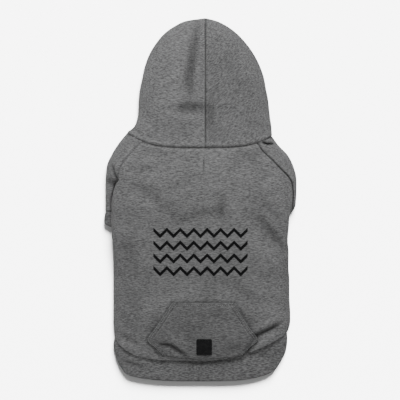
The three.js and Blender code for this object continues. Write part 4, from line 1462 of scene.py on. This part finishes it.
@dataclass
class HemBand:
    """The wide rib band round the hoodie's lower edge."""

    cut: Cut = CUT
    rows: tuple = (0.02, 0.25, 0.5, 0.75, 1)
    # width, climb, bow
    sides: dict = sided(
        ((0.975, 1, 5), (0.996, 0.88, 5), (0.977, 0.74, 4.6), (0.93, 0.62, 3.8),
         (0.855, 0.52, 3.4)),
        ((0.99, 1, 2.1), (0.995, 0.85, 2.4), (0.978, 0.71, 2.9), (0.93, 0.7, 3.2),
         (0.85, 0.7, 3.6)),
    )
    folds: tuple = (
        Fold(((-44, -236), (-22, -241), (-6, -243.5), (22, -241), (66, -235.5)), 2.8, 2.4, 1.6),
        Fold(((-118, -239), (-100, -246), (-82, -251)), 4.5, 2.2, 1.5),
        Fold(((-104, -232), (-84, -240), (-66, -246)), 6.0, -0.7),
        Fold(((110, -224), (96, -232), (84, -238)), 5.0, 1.0),
        Fold(((-30, -258), (10, -262), (50, -257)), 7.0, 0.5),
    )
    waves: tuple = ((24, 0.5, 4.4, 1.7),)
    # steps of a half row: over the top, round the fold and underneath
    steps: tuple = (56, 14, 40)

    def build(self, looks: Looks) -> Pieces:
        """Makes and dresses the band."""
        return {"band": put_on(self.ring(), looks["rib_band"])}

    def half_row(self, side: Side, index: int) -> Array:
        """Returns half a row, from the middle of the top round to the middle of the bottom."""
        cut, roll = self.cut, self.cut.band_roll
        share, climb, bow = self.sides[side][index]
        width = share * cut.body_half
        down = self.rows[index]
        top = crowned(0.0, width, roll, cut.band_loft - roll, roll)
        turned = arc(width - roll, roll, roll, 0, -90)
        track = Track(np.concatenate([top, turned, [[0, 0]]]))
        tip, quarter = track.lengths[len(top) - 1], roll * math.pi / 2
        ends = (tip - quarter, tip + quarter, track.length)
        spots = track.at(stations(*zip(ends, self.steps)))
        reach = np.abs(spots[:, 0]) / cut.fold(side, len(cut.body_rows) - 1)
        rise = climb * cut.hem_rise[side] * reach**bow
        y = cut.neck_y - cut.panel_length - down * cut.band_height + rise
        return laid(side, spots, y)

    def ring(self) -> Piece:
        """Returns the band as one ring, joined where its first and last columns meet."""
        cut = self.cut
        rows = []
        for index in range(len(self.rows)):
            left = self.half_row(Side.LEFT, index)[::-1]
            rows.append(np.concatenate([self.half_row(Side.RIGHT, index), left[1:]]))
        grid = lofted(rows, 1.8)
        grid[:, -1] = grid[:, 0]
        upper, lower = edge_reach(grid, "first_row"), edge_reach(grid, "last_row")
        lift = folded(self.folds, self.waves, grid[..., :2])
        lift = lift * topness(normals_of(grid)) * np.clip(upper / 3 + 0.3, 0, 1)
        lift = lift - 0.6 * bell(upper, 1.3) - 1.3 * bell(lower, 1.3)
        grid = grounded(lifted(grid, lift))
        grid[:, -1] = grid[:, 0]
        # painted shadow along the band's upper seam, under the back's overhanging edge
        lines = painted_seam_line(upper, 1.3, 0.35) * topness(normals_of(grid))
        return cloth("hem_band_rib", grid, cut.rib_wall, knit=knit_map(grid),
                     crease=painted_crease_shade(lift, lines))


# Pocket, patch and print


@dataclass
class Pocket:
    """The pouch on the back, with slanted hand openings and a lower edge that hangs."""

    offset: float = 3.0
    top: float = -152.75
    top_width: float = 91.0
    width: float = 165.0
    bottom_width: float = 122.0
    slant: float = 56.0
    lower: float = 21.0
    belly: float = 6.0
    puff: float = 2.2
    gap: float = 0.8
    wall: float = 1.9
    # slant, lower, puff, hang
    rows: tuple = ((0, 0, 0, 0), (0.34, 0, 0.6, 0), (0.68, 0, 1, 0), (1, 0, 1, 0.3),
                   (1, 0.5, 0.6, 0.7), (1, 1, 0, 1))
    folds: tuple = (
        Fold(((-66, -214), (-45, -216.6), (-26, -229), (-8, -243)), 3.8, 3.2, 1.5),
        Fold(((-50, -206), (-30, -212), (-14, -224)), 7.0, -0.9),
        Fold(((-4, -168), (20, -173), (44, -171)), 10.0, 0.9),
        Fold(((-40, -180), (-20, -196), (-8, -206)), 9.0, 0.6),
        Fold(((34, -228), (50, -222), (66, -216)), 7.0, 0.8),
    )
    # painted shade line in the pocket's fold
    tucks: tuple = (Fold(((-60, -214.5), (-45, -216.6), (-26, -229), (-10, -241)), 2.0, 0.75),)
    waves: tuple = ((26, 0.6, 2.2, 1.3),)
    # share of the half width beyond which the points lie closer
    rim: float = 0.86
    # two rows of stitches along each slanted opening, in from its edge
    stitch_rows: tuple = (3.2, 7.4)
    # the stitched line below the top edge
    top_row: float = 4.0
    # how the lower edge is turned under: degrees, forward and down
    hem_turns: tuple = (35, 70, 105, 140)
    hem_roll: tuple = (1.7, 1.6)
    # rounds that smooth the back's creases out from under the pocket
    blur_rounds: int = 14

    def build(self, looks: Looks,
              back: Carrier) -> Pieces:
        """Makes and dresses the pocket.

        Args:
            looks: the finished materials by name.
            back: the surface it is sewn to.

        Returns:
            The piece by name.
        """
        return {"pocket": put_on(self.pouch(back), looks["fleece_pocket"])}

    def half_width(self, slant: float, lower: float) -> float:
        """Returns half the pocket's width at shares of its slanted and lower parts."""
        slanted = mixed(self.top_width, self.width, slant)
        return (slanted + lower * (self.bottom_width - self.width)) / 2

    def plan(self, slant: float, lower: float, hang: float, column: Array) -> Array:
        """Returns points of a row in plan."""
        x = self.offset + column * self.half_width(slant, lower)
        down = slant * self.slant + lower * self.lower + self.belly * hang * (1 - column**2)
        return np.stack([x, self.top - down], 1)

    def pouch(self, back: Carrier) -> Piece:
        """Returns the pocket, draped on the back and puffed between its seams."""
        rim, inner = np.linspace(self.rim, 1, 11), np.linspace(-self.rim, self.rim, 65)
        column = np.concatenate([-rim[::-1], inner[1:-1], rim])
        marks = []
        for slant, lower, puff, hang in self.rows:
            plan = self.plan(slant, lower, hang, column)
            rise = self.gap + self.puff * puff * (1 - column**4)
            marks.append(np.column_stack([plan, rise]))
        flat = lofted(marks, 1.4)
        plan, rise = flat[..., :2], flat[..., 2]
        carrier = back.heights(plan + SHIFT[:2])
        soft = self.blurred(carrier)
        base = np.maximum(carrier, soft) - SHIFT[2]
        grid = np.concatenate([plan, (base + rise + self.wall)[..., None]], 2)
        top, bottom = edge_reach(grid, "first_row"), edge_reach(grid, "last_row")
        left, right = edge_reach(grid, "first_column"), edge_reach(grid, "last_column")
        lift = folded(self.folds, self.waves, plan)
        edge = np.minimum(np.minimum(top, bottom), np.minimum(left, right))
        lift = np.maximum(lift * np.clip(edge / 10, 0, 1), -0.8 * rise - 0.5)
        row = top - self.top_row
        # painted shadow along the lower and top edges and the stitched row
        lines = painted_seam_line(bottom, 1.4, 0.2) + painted_seam_line(top, 0.9, 0.8) + painted_seam_line(row, 0.9, 0.35)
        for reach in (left, right):
            for inset in self.stitch_rows:
                lift = lift - 0.45 * bell(reach - inset, 0.9)
                # painted shade in the stitch rows
                lines = lines + painted_seam_line(reach - inset, 0.8, 0.6)
            lift = lift + 0.5 * bell(reach - 1.6, 1.1) - 0.9 * bell(reach, 0.7)
            # painted shade at the edge, with a painted highlight just inside it
            lines = lines + painted_seam_line(reach, 0.7, 0.9) - painted_seam_line(reach - 1.8, 0.9, 0.5)
        # painted highlight below the top edge, and painted shade in the fold
        lines = lines - painted_seam_line(top - 1.9, 0.9, 0.7) + painted_fold_shade(self.tucks, plan)
        lift = lift - 0.8 * bell(top, 1.0) - 0.4 * bell(row, 0.9)
        grid[..., 2] += lift
        forward, down = self.hem_roll
        grid = turned_under(grid, self.hem_turns, forward, np.array([0, 0, -down]))
        return cloth("pocket_cloth", grid, self.wall,
                     crease=painted_crease_shade(lift, lines, len(self.hem_turns)))

    def blurred(self, heights: Array) -> Array:
        """Returns the carrier's heights without its small creases."""
        result = heights.copy()
        for _ in range(self.blur_rounds):
            padded = np.pad(result, 1, mode="edge")
            result = (padded[:-2, 1:-1] + padded[2:, 1:-1] + padded[1:-1, :-2]
                      + padded[1:-1, 2:] + 4 * result) / 8
        return result

    def slant_line(self, side: Side, inset: float) -> Array:
        """Returns a line in plan along a slanted opening, set in from its edge."""
        share = np.linspace(0.03, 0.985, 60)
        half = np.array([self.half_width(s, 0) for s in share])
        run = math.hypot(self.slant, self.half_width(1, 0) - self.half_width(0, 0))
        x = self.offset + side.value * (half - inset * run / self.slant)
        return np.stack([x, self.top - share * self.slant], 1)


@dataclass
class Patch:
    """The bare black patch on the pocket: rounded corners and a thin raised border."""

    centre: tuple = (5.5, -219.25)
    width: float = 23.0
    height: float = 24.5
    corner: float = 2.2
    thickness: float = 0.9
    gap: float = 0.3
    # width and rise of each step of the border, from the edge inward
    border: tuple = ((0.5, 0.0), (0.35, 0.28), (0.6, 0.0), (0.35, -0.3))
    # strips each way, so that it can bend, and how softly its edges are broken
    strips: int = 13
    edge: float = 0.15

    def build(self, looks: Looks,
              pocket: Carrier) -> Pieces:
        """Makes and dresses the patch.

        Args:
            looks: the finished materials by name.
            pocket: the surface it is sewn to.

        Returns:
            The piece by name.
        """
        patch = added("bare_patch", bpy.ops.mesh.primitive_plane_add, size=1)
        for vertex in patch.data.vertices:
            vertex.co.x *= self.width * MM
            vertex.co.y *= self.height * MM
        rounded = partial(bpy.ops.mesh.bevel, offset=self.corner * MM, segments=4,
                          affect="VERTICES")
        edited(patch, rounded, *(
            partial(bpy.ops.mesh.inset, thickness=width * MM, depth=rise * MM)
            for width, rise in self.border))
        self.cut_across(patch)
        self.drape(patch, pocket)
        bake(patch, "SOLIDIFY", thickness=self.thickness * MM, offset=-1, use_rim=True)
        bake(patch, "BEVEL", width=self.edge * MM, segments=2, limit_method="ANGLE")
        smooth(patch, 40)
        return {"patch": put_on(patch, looks["patch_rubber"])}

    def cut_across(self, patch: Piece) -> None:
        """Cuts the patch into strips both ways, so that it can bend."""
        for axis, span in (((1, 0, 0), self.width), ((0, 1, 0), self.height)):
            for place in np.linspace(-0.5, 0.5, self.strips + 1)[1:-1] * span * MM:
                spot = tuple(place * value for value in axis)
                edited(patch, partial(bpy.ops.mesh.bisect, plane_co=spot, plane_no=axis))

    def drape(self, patch: Piece, pocket: Carrier) -> None:
        """Lays the patch on the pocket, following its broad shape only."""
        middle = np.array(self.centre) + SHIFT[:2]
        spread = np.linspace(-0.5, 0.5, 5)
        spots = [(a * self.width, b * self.height) for a in spread for b in spread]
        heights = [pocket.height(middle[0] + x, middle[1] + y) for x, y in spots]
        terms = np.array([[1, x, y, x * x, y * y, x * y] for x, y in spots])
        fit = np.linalg.lstsq(terms, np.array(heights), rcond=None)[0]
        rest = float(np.max(np.array(heights) - terms @ fit))
        for vertex in patch.data.vertices:
            x, y, z = (value / MM for value in vertex.co)
            base = float(np.array([1, x, y, x * x, y * y, x * y]) @ fit)
            lift = base + rest + self.gap + self.thickness + z
            vertex.co = Vector((middle[0] + x, middle[1] + y, lift)) * MM


@dataclass
class ZigzagPrint:
    """The printed zigzag rows, each a black ribbon that starts and ends at an upper point."""

    first_y: float = -48.85
    spacing: float = 19.0
    count: int = 4
    pitch: float = 20.0
    periods: int = 7
    rise: float = 10.0
    stroke: float = 3.75
    gap: float = 0.12
    thickness: float = 0.35

    def build(self, looks: Looks,
              back: Carrier) -> Pieces:
        """Makes and dresses the rows.

        Args:
            looks: the finished materials by name.
            back: the surface they are printed on.

        Returns:
            The pieces by name.
        """
        return {f"zigzag_{number + 1}": put_on(self.ribbon(back, number), looks["print_ink"])
                for number in range(self.count)}

    def ribbon(self, back: Carrier, number: int) -> Piece:
        """Returns one row, laid on the back."""
        legs, per_leg, bands = 2 * self.periods, 9, 3
        slope = math.atan2(self.rise, self.pitch / 2)
        half = self.stroke / 2 / math.cos(slope)
        along = np.arange(legs * per_leg + 1) / per_leg
        swing = np.abs(((along + 1) % 2) - 1)
        centre = self.first_y - number * self.spacing + self.rise * (0.5 - swing)
        x = (along - legs / 2) * self.pitch / 2
        offsets = np.linspace(half, -half, bands + 1)
        plan = np.stack([np.broadcast_to(x, (bands + 1, len(x))),
                         centre[None, :] + offsets[:, None]], 2)
        height = back.heights(plan + SHIFT[:2]) - SHIFT[2] + self.gap + self.thickness
        grid = np.concatenate([plan, height[..., None]], 2)
        return cloth(f"zigzag_print_{number + 1}", grid, self.thickness)


# Stitches


@dataclass
class Needle:
    """Sews short threads along lines that are drawn on a surface."""

    length: float = 2.5
    space: float = 0.75
    radius: float = 0.28
    sunk: float = 0.12

    def one(self) -> tuple[Array, list[tuple]]:
        """Returns one stitch's points, a unit long along X, and its faces."""
        stitch = added("stitch", bpy.ops.mesh.primitive_uv_sphere_add,
                       segments=6, ring_count=6, radius=0.5)
        points = np.array([tuple(vertex.co) for vertex in stitch.data.vertices])
        points = points[:, [2, 1, 0]] * np.array([1, 1, -1])
        faces = [tuple(face.vertices) for face in stitch.data.polygons]
        bpy.data.objects.remove(stitch, do_unlink=True)
        return points, faces

    def sew(self, name: str, lines: list[Array], carrier: Carrier,
            look: Material) -> Piece:
        """Sews lines of stitches on a surface.

        Args:
            name: the piece's name.
            lines: the lines in plan, in millimetres.
            carrier: the surface.
            look: the thread's material.

        Returns:
            All the stitches as one piece.
        """
        shape, faces = self.one()
        points, polygons = [], []
        for line in lines:
            track = Track(line)
            count = int(track.length / (self.length + self.space))
            starts = np.arange(count) * (self.length + self.space) + self.space / 2
            for start in starts:
                ends = track.at(np.array([start, start + self.length])) + SHIFT[:2]
                heights = [carrier.height(*end) + self.radius - self.sunk for end in ends]
                a = np.array([*ends[0], heights[0]])
                b = np.array([*ends[1], heights[1]])
                run = b - a
                size = np.linalg.norm(run)
                ahead = run / size
                beside = np.cross((0, 0, 1), ahead)
                beside /= np.linalg.norm(beside)
                above = np.cross(ahead, beside)
                placed = ((a + b) / 2 + shape[:, :1] * size * 1.06 * ahead
                          + shape[:, 1:2] * 2 * self.radius * beside
                          + shape[:, 2:] * 2 * self.radius * above)
                polygons.extend(tuple(v + len(points) for v in face) for face in faces)
                points.extend((placed * MM).tolist())
        mesh = bpy.data.meshes.new(name)
        mesh.from_pydata(points, [], polygons)
        piece = bpy.data.objects.new(name, mesh)
        bpy.context.scene.collection.objects.link(piece)
        smooth(piece, 80)
        return put_on(piece, look)


@dataclass
class Stitching:
    """The sewn lines that show: round the pocket and round the leash slit."""

    needle: Needle = field(default_factory=Needle)
    rim: Needle = field(default_factory=partial(Needle, 1.2, 0.02, 0.24, 0.12))
    bar: Needle = field(default_factory=partial(Needle, 2.6, -1.9, 0.34, 0.05))
    # stitches on each side of the slit, and how far they lie from its edge and pass its ends
    count: int = 40
    beside: float = 0.85
    beyond: float = 0.4
    # how far a stitch reaches in and out from there, and where the bars start and end
    half_stitch: tuple = (-0.6, 0.65)
    bar_ends: tuple = (12.0, 15.0)

    def build(self, looks: Looks, on: dict[str, Carrier],
              pocket: Pocket, body: Body) -> Pieces:
        """Sews the lines on the finished pieces.

        Args:
            looks: the finished materials by name.
            on: the surfaces by piece.
            pocket: the pocket, for its lines.
            body: the body, for the slit's place.

        Returns:
            The pieces by name.
        """
        thread = looks["grey_thread"]
        lines = [pocket.slant_line(side, inset) for side in Side for inset in pocket.stitch_rows]
        lines.append(pocket.plan(0.075, 0, 0, np.linspace(-0.9, 0.9, 60)))
        round_pocket = self.needle.sew("pocket_stitches", lines, on["pocket"], thread)
        return {"pocket_stitches": round_pocket,
                "slit_stitches": self.slit(on["back"], body, thread)}

    def slit(self, back: Carrier, body: Body, thread: Material) -> Piece:
        """Returns the close stitches round the leash slit and the bars above and below it."""
        x, y = body.slit_place
        share = np.linspace(-1, 1, self.count)
        reach = body.slit_half(share) + self.beside
        places = y + share * (body.slit_length / 2 + self.beyond)
        lines = [np.array([[x + side * (out + half), place] for half in self.half_stitch])
                 for side in (-1, 1) for place, out in zip(places, reach)]
        bars = [np.array([[x, y + way * end] for end in self.bar_ends]) for way in (1, -1)]
        rim = self.rim.sew("slit_stitches", lines, back, thread)
        ends = self.bar.sew("slit_bars", bars, back, thread)
        bpy.ops.object.select_all(action="DESELECT")
        ends.select_set(True)
        rim.select_set(True)
        bpy.context.view_layer.objects.active = rim
        bpy.ops.object.join()
        return rim


# Room, light and camera


@dataclass
class Studio:
    """The pale floor, the soft light from beyond the hood and the camera straight above."""

    camera_height: float = 2.4
    view_width: float = 0.5984
    view_level: float = 0.010
    drift: float = -0.0007
    # how far the floor lies below the cloth
    drop: float = 0.0002
    # place, side and power of each soft panel
    panels: dict = field(default_factory=lambda: {
        "key_light": ((0.0, 1.9, 1.5), 0.9, 46.0), "fill_light": ((-0.3, -0.6, 2.6), 2.2, 7.0)})
    room_power: float = 0.48
    # the light for the floor alone
    floor_power: float = 62.0
    floor_softness: float = 31.0
    floor_from: tuple = (0.34, 1.3, 1.0)

    def build(self) -> None:
        """Sets up the floor, the lights and the camera."""
        self.floor()
        self.lights()
        self.camera()

    def floor(self) -> None:
        """Lays the floor."""
        floor = added("pale_floor", bpy.ops.mesh.primitive_grid_add,
                      x_subdivisions=8, y_subdivisions=8, size=9)
        edited(floor, partial(bpy.ops.transform.translate, value=(0, 0, -self.drop)))
        put_on(floor, PaperFloor().make())
        floor.visible_diffuse = False

    def lights(self) -> None:
        """Hangs a broad soft light beyond the hood and fills the rest from all sides."""
        for name, (place, size, power) in self.panels.items():
            self.panel(name, place, size, power)
        self.floor_light()
        world = bpy.data.worlds.new("pale_room")
        world.use_nodes = True
        background = world.node_tree.nodes["Background"]
        background.inputs["Color"].default_value = (1, 1, 1, 1)
        background.inputs["Strength"].default_value = self.room_power
        bpy.context.scene.world = world

    def floor_light(self) -> None:
        """Adds the strong soft light that only brightens the floor, where the hoodie shades it."""
        light = bpy.data.lights.new("floor_light", "SUN")
        light.energy, light.angle = self.floor_power, math.radians(self.floor_softness)
        lamp = self.lamp(light, (0, 0, 0), self.floor_from)
        lit = bpy.data.collections.new("lit_floor")
        lit.objects.link(bpy.data.objects["pale_floor"])
        lamp.light_linking.receiver_collection = lit

    def panel(self, name: str, place: tuple, size: float, power: float) -> None:
        """Hangs a square light that faces the hoodie.

        Args:
            name: the light's name.
            place: where it hangs, in metres.
            size: its side in metres.
            power: in watts.
        """
        light = bpy.data.lights.new(name, "AREA")
        light.energy, light.size = power, size
        self.lamp(light, place, place)

    def lamp(self, light: bpy.types.Light, place: tuple, source: tuple) -> Piece:
        """Hangs a light at a place, shining from a direction."""
        lamp = bpy.data.objects.new(light.name, light)
        lamp.location = place
        lamp.rotation_euler = (-Vector(source)).to_track_quat("-Z", "Y").to_euler()
        bpy.context.scene.collection.objects.link(lamp)
        return lamp

    def camera(self) -> None:
        """Sets the camera straight above, with the hood at the top of the picture."""
        data = bpy.data.cameras.new("camera")
        data.sensor_width = 36.0
        distance = self.camera_height - self.view_level
        data.lens = data.sensor_width * distance / self.view_width
        camera = bpy.data.objects.new("camera", data)
        camera.location = (SHIFT[0] * MM + self.drift, SHIFT[1] * MM, self.camera_height)
        camera.rotation_euler = (0, 0, 0)
        bpy.context.scene.collection.objects.link(camera)
        bpy.context.scene.camera = camera


# Making


def finishes() -> Looks:
    """Returns every material by name."""
    made = [
        # the fleece tones are painted light and shade: each piece's copy is lighter or darker for
        # how the light falls on it, and the body's is painted lighter towards the hood
        Fleece("fleece_body", 0.95, upper=1.16), Fleece("fleece_sleeve", 1.08),
        Fleece("fleece_hood", 1.06),
        Fleece("fleece_hood_slanted", 0.96, Grain.SLANTED, streak=0.0044),
        Fleece("fleece_pocket", 0.77, crease=0.42),
        RibKnit("rib_cuff", tone=0.86), RibKnit("rib_band"),
        PrintInk(), PatchRubber(), Thread(),
    ]
    return {finish.name: finish.make() for finish in made}


def sleeves() -> tuple[Sleeve, Sleeve]:
    """Returns the two sleeves, each with its own end and folds."""
    left = Sleeve(
        Side.LEFT, length=40.0, ends=((0.5, 0, 0), (1, 0, 0)), seam_depth=0.45, corner=6.0,
        folds=(
            Fold(((-131, 52), (-129.5, 46), (-124, 30), (-128, 16), (-132, 2), (-133, -46)),
                 2.6, 3.2, 1.3),
            Fold(((-137, 30), (-135, 0), (-136, -20)), 4.0, 0.6),
            Fold(((-100, 96), (-112, 84), (-122, 66)), 6.0, 0.7),
        ),
        # painted shadow where the body's edge lies over the left sleeve
        marks=(Fold(((-130.5, 51), (-129, 43), (-124.5, 31), (-132, 4), (-133, -44)), 1.5, 1.1),))
    right = Sleeve(
        Side.RIGHT, length=18.0, ends=((0.5, 0.1, 10), (1, 0.22, 17)), seam_depth=1.3, corner=1.0,
        folds=(
            Fold(((93, 86), (100, 84.5), (109, 84.5)), 2.6, 3.2, 1.5),
            Fold(((118, 70), (130, 54), (136, 40)), 5.0, 0.8),
        ),
        marks=(Fold(((93, 86), (100, 84), (108, 84.5)), 1.7, 2.4),))
    return left, right


# node and slot of each piece
STANDS_FOR = {
    "back": ("back_panel", "fleece"), "belly": ("belly_panel", "fleece"),
    "left_sleeve": ("left_sleeve", "fleece"), "right_sleeve": ("right_sleeve", "fleece"),
    "left_cuff": ("left_cuff", "rib"), "right_cuff": ("right_cuff", "rib"),
    "hood_left": ("hood_left", "fleece"), "hood_right": ("hood_right", "fleece"),
    "band": ("hem_band", "rib"), "pocket": ("pocket", "fleece"),
    "patch": ("label", "label_rubber"), "zigzag_1": ("zigzag_row_1", "print"),
    "zigzag_2": ("zigzag_row_2", "print"), "zigzag_3": ("zigzag_row_3", "print"),
    "zigzag_4": ("zigzag_row_4", "print"), "pocket_stitches": (None, "fleece"),
    "slit_stitches": (None, "fleece"),
}


def attach(pieces: Pieces) -> None:
    """Lets every piece ride on the one body and stand for its node."""
    for name, piece in pieces.items():
        node, slot = STANDS_FOR[name]
        if node:
            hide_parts(node)
        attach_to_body(piece, "root")
        LOG.info("%s: %d faces", piece.name, len(piece.data.polygons))


def main() -> None:
    """Builds the room and the garment's pieces in order, and sets each in place of its node on the
    one body.
    """
    logging.basicConfig(level=logging.INFO, format="%(message)s")
    Studio().build()
    looks = finishes()
    body, pocket = Body(), Pocket()
    pieces = body.build(looks)
    for sleeve in sleeves():
        pieces |= sleeve.build(looks)
    pieces |= Hood().build(looks)
    pieces |= HemBand().build(looks)
    on_back = Carrier(pieces["back"])
    pieces |= pocket.build(looks, on_back)
    on_pocket = Carrier(pieces["pocket"])
    pieces |= Patch().build(looks, on_pocket)
    pieces |= ZigzagPrint().build(looks, on_back)
    on = {"back": on_back, "pocket": on_pocket}
    pieces |= Stitching().build(looks, on, pocket, body)
    attach(pieces)


if __name__ == "__main__":
    main()
